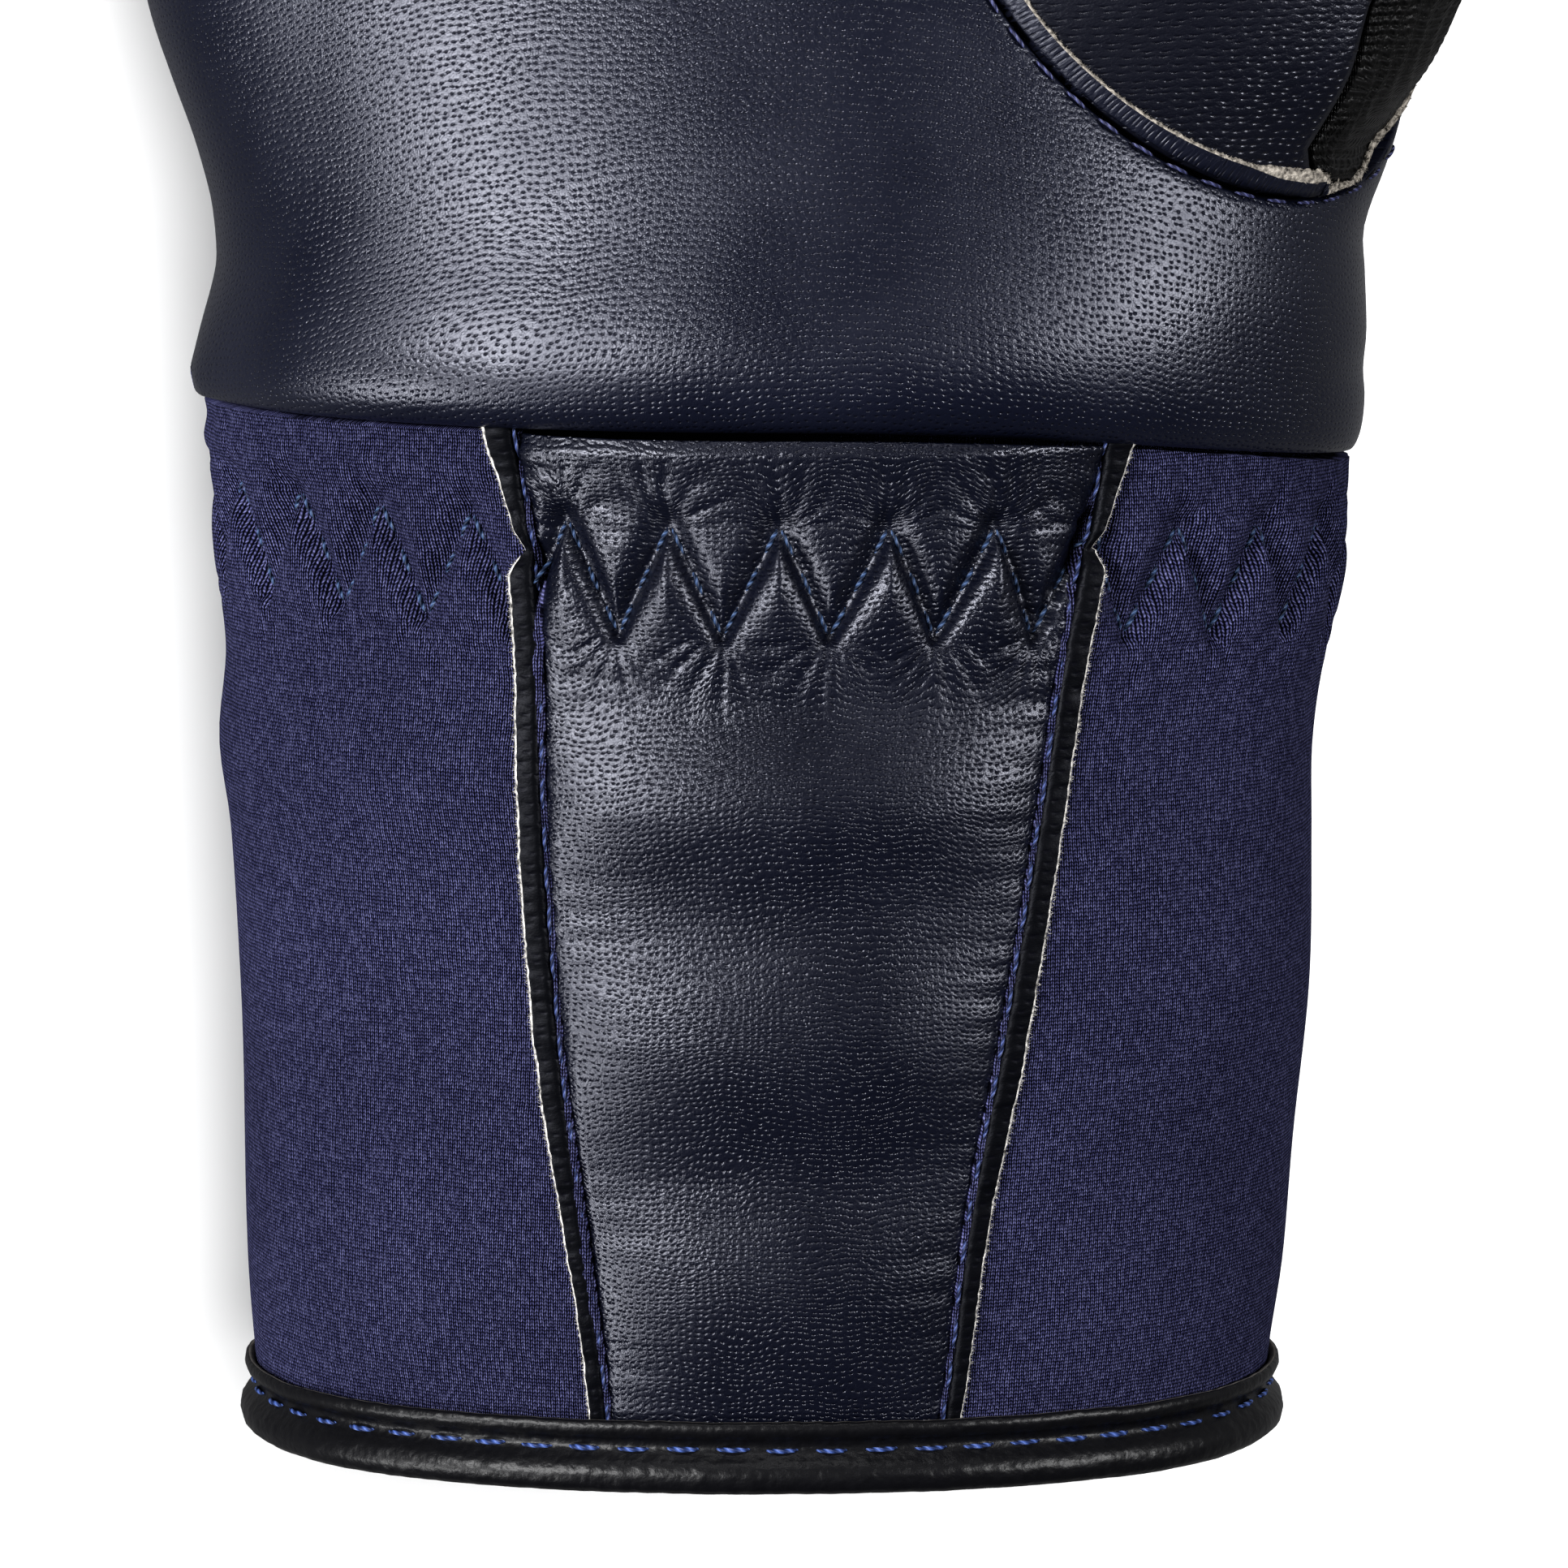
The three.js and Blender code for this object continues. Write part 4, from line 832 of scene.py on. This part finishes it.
def inset_relief(turn, y, around, across, breadth):
    """How far the leather stands out, and how far the rows of its grain are bent."""
    above = y - slanted(ZIGZAG_LINE, turn)
    out = relief_at(
        around, above, groove=0.95, groove_width=0.40, puff_below=1.0, puff_above=0.02,
        pucker=0.12, fans=15, seed=1,
    )
    out += 0.3 * smooth_step(62.5, 67.0, y) - 0.6 * smooth_step(67.4, 68.8, y)
    from_seam = min(across, 1 - across) * breadth
    stitch = 0.5 + 0.5 * math.cos(2 * math.pi * y / 1.9 + 3 * uneven(y * 0.35, across, 2))
    pull = 0.6 + 0.8 * uneven(y * 0.2, across * 3, 9)
    out -= 0.24 * math.exp(-from_seam / 2.3) * stitch * pull
    out -= 0.15 * math.exp(-((from_seam / 0.4) ** 2))
    crease = uneven(around * 0.16, y * 0.9, 7.0)
    out += 0.04 * crease
    crown = (1 - math.exp(-across * breadth / CROWN)) * (1 - math.exp((across - 1) * breadth / CROWN))
    out += (wave_at(y) + 0.45 * smooth_step(26, 44, y)) * crown
    share = around / (2 * HALF_TOOTH) % 1
    arch = 0.55 * math.sin(math.pi * share) * math.exp(-(((above - 4) / 3.2) ** 2))
    return out, gathered(around, above) - arch


inset_leather = leather_material(
    "inset_leather", dark=(0.0014, 0.0019, 0.0052), light=(0.0027, 0.0034, 0.0088), across=0.5, down=0.38,
)
inset = cuff_panel("cuff_inset_leather", 156, 240, 1, 2, inset_relief, edge=0.05)
dressed(inset, inset_leather, "leather", "cuff_inset")


# The turned-out edges of the inset's seams.
# The leather's edge stands out over the knit as a narrow strip beside the stitches, creased across
# and pinched where the zigzag crosses it. Its cut side is raw and pale.
def raw_material(name, dark, light):
    """The furry cut side of leather, mottled by its fibres."""
    material, tree, shader = plain_material(name, roughness=0.95, specular=0.1)
    place = wired(tree, "ShaderNodeTexCoord").outputs["Object"]
    fibres = mottle_of(tree, place, 3200.0, 3.0)
    patches = wired(tree, "ShaderNodeMapRange", {"Value": fibres, "From Min": 0.3, "From Max": 0.66})
    tree.links.new(blended(tree, patches.outputs["Result"], dark, light), shader.inputs["Base Color"])
    raise_surface(tree, shader, fibres, 0.0002)
    return material


raw_edge = raw_material("raw_edge", dark=(0.05, 0.048, 0.046), light=(0.6, 0.58, 0.55))
edge_leather = leather_material(
    "edge_leather", dark=(0.0006, 0.0007, 0.0012), light=(0.0018, 0.002, 0.003),
    across=0.7, down=0.8, waver=1.0, depth=0.00004, smoothest=0.4, dullest=0.5, specular=0.08,
)

# Across the strip: share of its breadth, and height over the cloth
STRIP = [
    (0.0, -0.3), (0.03, 0.08), (0.12, 0.24), (0.3, 0.34), (0.55, 0.38), (0.76, 0.4), (0.86, 0.41),
    (0.93, 0.38), (0.98, 0.28), (1.02, 0.15), (1.01, 0.02), (0.93, -0.05), (0.6, -0.15), (0.3, -0.3),
]
CUT_FROM, CUT_TO = 6, 11


def tube_along(name, sections, pattern_of, cut_sides=range(0), ring=False):
    """A closed tube through sections of equally many points. A ring runs back into its start."""
    tube = bmesh.new()
    pattern = tube.loops.layers.uv.new("pattern")
    around, lengthwise = len(sections[0]), len(sections) - (0 if ring else 1)
    bmesh.ops.create_grid(tube, x_segments=around, y_segments=lengthwise, size=0.5)
    for face in tube.faces:
        face.smooth = True
        if int((face.calc_center_median().x + 0.5) * around) in cut_sides:
            face.material_index = 1
    for vertex in tube.verts:
        k, i = round((vertex.co.x + 0.5) * around), round((vertex.co.y + 0.5) * lengthwise)
        vertex.co = sections[i % len(sections)][k % around]
        for loop in vertex.link_loops:
            loop[pattern].uv = pattern_of(i, k)
    bmesh.ops.remove_doubles(tube, verts=tube.verts, dist=1e-7)
    bmesh.ops.holes_fill(tube, edges=[edge for edge in tube.edges if edge.is_boundary])
    bmesh.ops.recalc_face_normals(tube, faces=tube.faces)
    return piece_from(tube, name)


FIBRES_AT_ONCE = 60
FIBRE_RADIUS = 0.000028


def fuzzed(piece, spots, dice):
    """The piece with tiny fibres that stand out of its cut edge, at spots with the way they point."""
    cloth = bmesh.new()
    cloth.from_mesh(piece.data)
    for first in range(0, len(spots), FIBRES_AT_ONCE):
        few, few_mesh = bmesh.new(), bpy.data.meshes.new("fibres")
        for place, way in spots[first:first + FIBRES_AT_ONCE]:
            lean = Vector((dice.uniform(-1, 1), dice.uniform(-1, 1), dice.uniform(-1, 1))) * 0.7
            way = (way + lean).normalized()
            length = dice.uniform(SHORTEST_FIBRE, LONGEST_FIBRE) / 1000
            turned = way.to_track_quat("Z", "Y").to_matrix().to_4x4()
            bmesh.ops.create_cone(
                few, cap_ends=True, segments=3, radius1=FIBRE_RADIUS, radius2=0.0, depth=length,
                matrix=Matrix.Translation(place + way * (length * 0.4)) @ turned,
            )
        for face in few.faces:
            face.material_index = 1
        few.to_mesh(few_mesh)
        few.free()
        cloth.from_mesh(few_mesh)
    cloth.to_mesh(piece.data)
    cloth.free()
    return piece


PINCH_AT = 61.0
STRIP_LOW, STRIP_HIGH, STRIP_STEPS = 4.2, 69.3, 420
STRIP_FIBRES = 1500
SHORTEST_FIBRE, LONGEST_FIBRE = 0.08, 0.3


def seam_edge(side, y):
    """Breadth of the strip beside a seam of the inset, and how hard the zigzag pinches it."""
    if y > PINCH_AT:
        breadth = 0.55 + 1.35 * min((y - PINCH_AT) / 7.0, 1)
    else:
        breadth = 1.05 + 0.55 * smooth_step(3, 30, y) - 0.5 * smooth_step(PINCH_AT - 1.8, PINCH_AT, y)
    pinch = math.exp(-(((y - PINCH_AT) / 0.8) ** 2))
    ragged = 0.08 * uneven(y * 0.35, side * 9, 0) + 0.06 * uneven(y * 2.3, side * 9, 5)
    return breadth * (1 - 0.25 * pinch) + ragged, pinch


def strip_point(side, y, share, high):
    """A point of the strip beside a seam, by its share of the breadth."""
    outward = 1 if side == 1 else -1
    seam = seam_turn(side, y)
    per_degree = (on_sleeve(seam + 1, y) - on_sleeve(seam, y)).length
    breadth, pinch = seam_edge(side, y)
    crease = uneven(y * 0.55, side * 5, 1) + 0.6 * uneven(y * 1.3, side * 5, 2)
    lift = 1 - 0.3 * max(crease, 0) ** 0.5 - 0.6 * pinch
    wobble = 0.06 * uneven(share * 3, y * 1.7, side) if high > 0.2 else 0.0
    puffed = 0.45 * math.exp(-(((y - ZIGZAG_LINE[0]) / 5.0) ** 2)) * (1 - pinch)
    turn = seam + outward * (share * breadth + 0.12) / per_degree
    return at(*on_sleeve(turn, y, high * lift + wobble + puffed))


def seam_strip(name, side, node):
    """The strip of one seam: side 1 is the little finger's, side 2 the thumb's."""
    heights = [STRIP_LOW + (STRIP_HIGH - STRIP_LOW) * i / STRIP_STEPS for i in range(STRIP_STEPS + 1)]
    sections = [[strip_point(side, y, share, high) for share, high in STRIP] for y in heights]
    piece = tube_along(
        name, sections, lambda i, k: (k * 0.22, heights[i]), cut_sides=range(CUT_FROM, CUT_TO),
    )
    dice = random.Random(40 + side)
    spots = []
    for _ in range(STRIP_FIBRES):
        y = dice.uniform(STRIP_LOW, STRIP_HIGH)
        root = strip_point(side, y, dice.uniform(0.9, 1.02), dice.uniform(0.1, 0.38))
        spots.append((root, (root - strip_point(side, y, 0.5, 0.0)).normalized()))
    fuzzed(piece, spots, dice)
    dressed(piece, edge_leather, "leather", node)
    piece.data.materials.append(raw_edge)
    return piece


seam_strip("inset_edge_left", 1, "cuff_flange_left")
seam_strip("inset_edge_right", 2, "cuff_flange_right")


# The cuff's stitches.
# Two-ply blue sewing thread. It closes the inset's side seams, and holds the elastic in a zigzag
# of three stitches to a leg, sunk into the cloth.
def thread_material(name, crest_light, groove_shade):
    """Twisted thread: two slanting plies with a little gloss, with painted shade in the grooves between
    them and painted light on their crests.
    """
    material, tree, shader = plain_material(name, roughness=0.5, specular=0.35)
    spot_on = wired(tree, "ShaderNodeSeparateXYZ", {
        "Vector": wired(tree, "ShaderNodeUVMap").outputs["UV"],
    })
    around = sum_of(tree, "MULTIPLY", spot_on.outputs["X"], 2.0)
    turned = sum_of(tree, "MULTIPLY_ADD", spot_on.outputs["Y"], 4.0, around)
    ply = sum_of(tree, "SINE", sum_of(tree, "MULTIPLY", turned, 2 * math.pi))
    # Painted shade in the grooves between the plies, and painted light on their crests
    share = sum_of(tree, "MULTIPLY_ADD", ply, 0.5, 0.5)
    tree.links.new(blended(tree, share, groove_shade, crest_light), shader.inputs["Base Color"])
    raise_surface(tree, shader, ply, 0.00008)
    return material


def add_stitch(thread, start, end, up, thick, bow):
    """One stitch: a slim bead whose two ends dive into the cloth."""
    lengthwise = end - start
    side = lengthwise.cross(up).normalized()
    bead = bmesh.ops.create_uvsphere(thread, u_segments=8, v_segments=8, radius=1, calc_uvs=True)
    for vertex in bead["verts"]:
        across, rise, length = vertex.co
        full = (1 + 0.3 * length * length) * thick / 2
        place = (start + end) / 2 + lengthwise * (length / 2)
        vertex.co = place + side * (across * full) + up * (rise * full - bow * length * length)


def sewn(name, stitches, material, slot):
    """One piece of all the stitches of a seam: start, end, way up, thickness and bow in millimetres."""
    thread = bmesh.new()
    thread.loops.layers.uv.new("pattern")
    for start, end, up, thick, bow in stitches:
        add_stitch(thread, start, end, up, thick / 1000, bow / 1000)
    for face in thread.faces:
        face.smooth = True
    return dressed(piece_from(thread, name), material, slot)


seam_blue = thread_material("seam_blue_thread", crest_light=(0.045, 0.066, 0.18), groove_shade=(0.006, 0.009, 0.03))
zigzag_blue = thread_material("zigzag_blue_thread", crest_light=(0.045, 0.08, 0.165), groove_shade=(0.006, 0.011, 0.028))
SIDE_PITCH, SIDE_LENGTH = 2.75, 2.1
SIDE_FROM, SIDE_TO = 3.6, 67.5
SIDE_THICKNESS, SIDE_BOW = 0.26, 0.2
side_stitches = []
dice = random.Random(7)
for side, outward in ((1, 1), (2, -1)):
    y = SIDE_FROM
    while y < SIDE_TO:
        length = SIDE_LENGTH + dice.uniform(-0.2, 0.2)
        ends = []
        for spot_y in (y, y + length):
            seam = seam_turn(side, spot_y) - outward * dice.uniform(-0.05, 0.12)
            ends.append(at(*on_sleeve(seam, spot_y, 0.12)))
        middle_y = y + length / 2
        up = outward_at(seam_turn(side, middle_y), middle_y)
        side_stitches.append((*ends, up, SIDE_THICKNESS, SIDE_BOW))
        y += SIDE_PITCH + dice.uniform(-0.12, 0.12)
sewn("inset_side_stitches", side_stitches, seam_blue, "leather")


def turn_after(around):
    """The angle at so many millimetres round the wrist from the first peak."""
    around %= GIRTH[-1]
    k = max(bisect.bisect_left(GIRTH, around), 1)
    down = k - 1 + (around - GIRTH[k - 1]) / (GIRTH[k] - GIRTH[k - 1])
    return (PEAK_TURN - down * 360 / (len(GIRTH) - 1) + 180) % 360 - 180


def on_cloth(around, above, lift):
    """A point over the puckered cuff, beside the zigzag."""
    turn = turn_after(around)
    y = slanted(ZIGZAG_LINE, turn) + above
    left, right = seam_turn(1, y), seam_turn(2, y)
    signed = around if around < GIRTH[-1] / 2 else around - GIRTH[-1]
    if right < turn < left:
        breadth = (left - right) * GIRTH[-1] / 360
        out = inset_relief(turn, y, signed, (left - turn) / (left - right), breadth)[0]
    else:
        out = knit_relief(turn, y, around, 0.5, 160)[0]
    to_seam = min(abs(turn - left), abs(turn - right)) * GIRTH[-1] / 360
    if to_seam < 1.3 and not right < turn < left:
        out = max(out, 0.45 * (1 - 0.6 * math.exp(-(((y - PINCH_AT) / 1.1) ** 2))))
    return on_sleeve(turn, y, out + lift), turn, y


STITCHES_OF_LEG = ((0.03, 0.28), (0.41, 0.63), (0.75, 0.97))
ZIGZAG_THICKNESS, ZIGZAG_BOW = 0.3, 0.16
zigzag_stitches = []
for k in range(2 * TEETH):
    (x0, y0), (x1, y1) = zigzag_corner(k), zigzag_corner(k + 1)
    for begin, finish in STITCHES_OF_LEG:
        ends = []
        for share in (begin, finish):
            point, turn, y = on_cloth(x0 + (x1 - x0) * share, y0 + (y1 - y0) * share, 0.1)
            ends.append(at(*point))
        thickness = ZIGZAG_THICKNESS + dice.uniform(-0.03, 0.03)
        zigzag_stitches.append((*ends, outward_at(turn, y), thickness, ZIGZAG_BOW))
sewn("zigzag_stitches", zigzag_stitches, zigzag_blue, "knit")


# The seam round the thumb's seat.
# The thumb's leather is sewn to the palm with its edge turned up over itself. The edge lies on the
# thumb as a dark strip beside the stitches, and its cut side shows pale and furry.
SEAT_TURN, SEAT_Y, SEAT_HALF = 30, 105.1, 22.5
SEAT_PALMWARD, SEAT_OUTWARD = 45.5, 42


def seat_line(way, out=0.0):
    """A point of the seam in the palm, by the way from the seat's middle in degrees."""
    across = math.cos(math.radians(way))
    turn = SEAT_TURN - (SEAT_OUTWARD if across > 0 else SEAT_PALMWARD) * across
    point = on_sleeve(turn, SEAT_Y + SEAT_HALF * math.sin(math.radians(way)), out)
    return point + Vector((pushed_out(point.x, point.y), 0, 0))


def surface_of(*pieces):
    """The outer surface of some pieces, for laying things on it."""
    cloth = bmesh.new()
    for piece in pieces:
        cloth.from_mesh(piece.data)
    tree = BVHTree.FromBMesh(cloth)
    cloth.free()
    return tree


seat_leather = leather_material(
    "seat_leather", NAVY_DARK, NAVY_LIGHT,
    across=0.5, down=0.4, waver=1.0, smoothest=0.38, dullest=0.46,
)
seat_raw_edge = raw_material("seat_raw_edge", dark=(0.02, 0.018, 0.017), light=(0.36, 0.33, 0.29))
thumb_surface = surface_of(thumb, gusset)


def on_thumb(way, inward_by, high):
    """A point over the thumb, so far inside the seam line."""
    start = seat_line(way)
    up = (seat_line(way, 1) - start).normalized()
    run = (seat_line(way + 0.5) - start).normalized()
    inward = up.cross(run)
    if inward.dot(on_sleeve(SEAT_TURN, SEAT_Y) - start) < 0:
        inward = -inward
    guess = at(*(start + inward * inward_by + up * (0.5 + 0.5 * inward_by)))
    place, normal, *_ = thumb_surface.find_nearest(guess)
    if normal.dot(up) < 0:
        normal = -normal
    return place + (normal * 0.6 + up * 0.4).normalized() * (high / 1000)


EDGE_STEPS_PER_DEGREE, FIBRES_PER_DEGREE = 2.6, 12
SEAT_CUT_SIDES = range(4, 9)


def turned_up(name, first_way, last_way, widths, seed, *nodes):
    """A length of the turned-up edge. The widths give its dark leather and its furry cut side."""
    steps = int((last_way - first_way) * EDGE_STEPS_PER_DEGREE)
    ways = [first_way + (last_way - first_way) * i / steps for i in range(steps + 1)]
    sections = []
    for way in ways:
        dark, cut = widths(way)
        ragged = 0.14 * uneven(way * 0.5, seed, 0) + 0.12 * uneven(way * 2.1, seed, 3)
        cut = max(cut + ragged, 0.1)
        profile = [
            (0.0, -0.4), (0.06, 0.06), (0.2, 0.2), (0.5 * dark + 0.1, 0.27), (dark, 0.32),
            (dark + 0.2 * cut, 0.33), (dark + 0.5 * cut, 0.3), (dark + 0.8 * cut, 0.2),
            (dark + cut, 0.05), (dark + 0.9 * cut, -0.1), (0.6 * dark, -0.25), (0.2, -0.35),
        ]
        section = []
        for k, (inward_by, high) in enumerate(profile):
            fur = 0.1 * uneven(way * 2.5, inward_by * 4, k) if k in SEAT_CUT_SIDES else 0.0
            section.append(on_thumb(way, inward_by, high + fur))
        sections.append(section)
    piece = tube_along(
        name, sections, lambda i, k: (k * 0.22, ways[i] * 0.42), cut_sides=SEAT_CUT_SIDES,
    )
    dice = random.Random(seed)
    spots = []
    for _ in range(int((last_way - first_way) * FIBRES_PER_DEGREE)):
        way = dice.uniform(first_way, last_way)
        dark, cut = widths(way)
        spot_in = dark + cut * dice.uniform(0, 1)
        root = on_thumb(way, spot_in, 0.3 - 0.2 * (spot_in - dark) / cut)
        spots.append((root, (on_thumb(way, spot_in + 0.4, 0.8) - root).normalized()))
    fuzzed(piece, spots, dice)
    dressed(piece, seat_leather, "leather", *nodes)
    piece.data.materials.append(seat_raw_edge)
    return piece


def main_widths(way):
    """The edge in front: a broad dark strip, whose pale side widens at the gusset."""
    wide = smooth_step(252, 262, way)
    return 1.5 - 0.3 * wide, 0.2 + 0.62 * wide - 0.4 * smooth_step(268, 271, way)


def far_widths(way):
    """The edge beyond the gusset: almost all pale."""
    return 0.3, 0.62 + 0.1 * math.sin(way * 0.21)


turned_up("thumb_edge", 168, 271, main_widths, 3, "thumb_seam_flange")
turned_up("thumb_edge_far", 271.6, 338, far_widths, 4)

thumb_blue = thread_material("thumb_blue_thread", crest_light=(0.06, 0.066, 0.16), groove_shade=(0.012, 0.013, 0.04))
THUMB_PITCH, THUMB_LENGTH = 2.7, 1.7
THUMB_THICKNESS, THUMB_BOW = 0.24, 0.16
thumb_stitches = []
way = 170.0
while way < 297:
    reach = (seat_line(way + 1) - seat_line(way)).length
    ends = [at(*seat_line(spot_way, 0.12)) for spot_way in (way, way + THUMB_LENGTH / reach)]
    up = (seat_line(way, 1) - seat_line(way)).normalized()
    thumb_stitches.append((*ends, up, THUMB_THICKNESS, THUMB_BOW))
    way += THUMB_PITCH / reach
sewn("thumb_stitches", thumb_stitches, thumb_blue, "leather")


# The binding of the hem.
# A strip of smooth black leather laid round the cuff's raw end and turned inside. It is sewn
# through in a groove, with a thin lip above the stitches and a full roll below them.
HEM_PROFILE = [
    (0.42, 3.6), (0.46, 4.3), (0.62, 4.62), (0.86, 4.66), (1.08, 4.5), (1.16, 4.1), (1.02, 3.7),
    (0.66, 3.4), (0.5, 3.1), (0.52, 2.75), (0.8, 2.4), (1.2, 2.1), (1.6, 1.65), (1.78, 1.0), (1.66, 0.3),
    (1.2, -0.1), (0.5, -0.25), (-0.4, -0.3), (-1.4, -0.2), (-2.2, 0.05), (-2.7, 0.7), (-2.85, 1.6),
    (-2.8, 2.8), (-2.55, 3.55), (-2.1, 3.7), (-1.8, 3.4), (-1.75, 2.2), (-1.4, 1.1), (-0.5, 0.8),
    (0.3, 1.0), (0.4, 2.0),
]
HEM_STATIONS = 720
BINDING_GRAIN = 0.5


def on_binding(turn, y, out):
    """A place on the binding, which is drawn in across the cuff at its two sides."""
    x, y, z = on_sleeve(turn, y, out)
    drawn = 0.4 * smooth_step(28, 35, -x) - 0.35 * smooth_step(27, 34, x)
    return at(x + drawn, y, z)


def hem_section(i):
    """The binding's outline at one station round the cuff, with its soft creases."""
    around = GIRTH[-1] * i / HEM_STATIONS
    turn = turn_after(around)
    foot = slanted(HEM_LINE, turn)
    section = []
    for k, (out, y) in enumerate(HEM_PROFILE):
        roll = smooth_step(0.2, 1.2, out) if y < 2.3 else 0.5 * smooth_step(0.5, 1.0, out)
        wave = 0.10 * uneven(around * 0.25, y * 0.4, 1) + 0.07 * uneven(around * 0.9, y, 2)
        rise = 0.10 * uneven(around * 0.2, 0, 5) + 0.05 * uneven(around * 1.1, 0, 6)
        rise *= 1 if y > 3.5 else 0.5
        section.append(on_binding(turn, foot + y + rise, out + wave * roll))
    return section


binding_leather, binding_tree, binding_shader = plain_material(
    "binding_leather", roughness=0.38, specular=0.2,
)
binding_place = wired(binding_tree, "ShaderNodeTexCoord").outputs["Object"]
crumple = wired(binding_tree, "ShaderNodeTexNoise", {
    "Vector": binding_place, "Scale": 1500.0, "Detail": 4.0, "Roughness": 0.6,
})
folds = wired(binding_tree, "ShaderNodeTexVoronoi", {
    "Vector": binding_place, "Scale": 1900.0,
}, feature="SMOOTH_F1")
binding_height = sum_of(
    binding_tree, "MULTIPLY_ADD", folds.outputs["Distance"], 0.8, crumple.outputs["Fac"],
)
raise_surface(binding_tree, binding_shader, binding_height, 0.00006)
binding_colour = blended(
    binding_tree, crumple.outputs["Fac"], (0.0012, 0.0012, 0.002), (0.004, 0.004, 0.005),
)
binding_tree.links.new(binding_colour, binding_shader.inputs["Base Color"])

hem = tube_along(
    "hem_binding_roll", [hem_section(i) for i in range(HEM_STATIONS)],
    lambda i, k: (i * GIRTH[-1] / HEM_STATIONS, k * BINDING_GRAIN), cut_sides=range(1, 3), ring=True,
)
lip_edge, lip_tree, lip_shader = plain_material("lip_edge", roughness=0.9)
lip_patches = mottle_of(lip_tree, wired(lip_tree, "ShaderNodeTexCoord").outputs["Object"], 900.0, 4.0)
lip_colour = blended(lip_tree, lip_patches, (0.004, 0.004, 0.005), (0.16, 0.145, 0.13))
lip_tree.links.new(lip_colour, lip_shader.inputs["Base Color"])
dressed(hem, binding_leather, "binding", "hem_binding")
hem.data.materials.append(lip_edge)

hem_blue = thread_material("hem_blue_thread", crest_light=(0.05, 0.09, 0.27), groove_shade=(0.005, 0.012, 0.05))
HEM_STITCHES, HEM_LENGTH, GROOVE_HEIGHT = 55, 2.35, 2.72
HEM_THICKNESS, HEM_BOW = 0.34, 0.24
hem_stitches = []
for i in range(HEM_STITCHES):
    start = GIRTH[-1] * (i + 0.15) / HEM_STITCHES
    ends = []
    for around in (start, start + HEM_LENGTH + dice.uniform(-0.15, 0.15)):
        turn = turn_after(around)
        foot = slanted(HEM_LINE, turn)
        ends.append(on_binding(turn, foot + GROOVE_HEIGHT + dice.uniform(-0.06, 0.06), 0.8))
    thickness = HEM_THICKNESS + dice.uniform(-0.04, 0.04)
    hem_stitches.append((*ends, outward_at(turn, foot), thickness, HEM_BOW))
sewn("hem_stitches", hem_stitches, hem_blue, "binding")
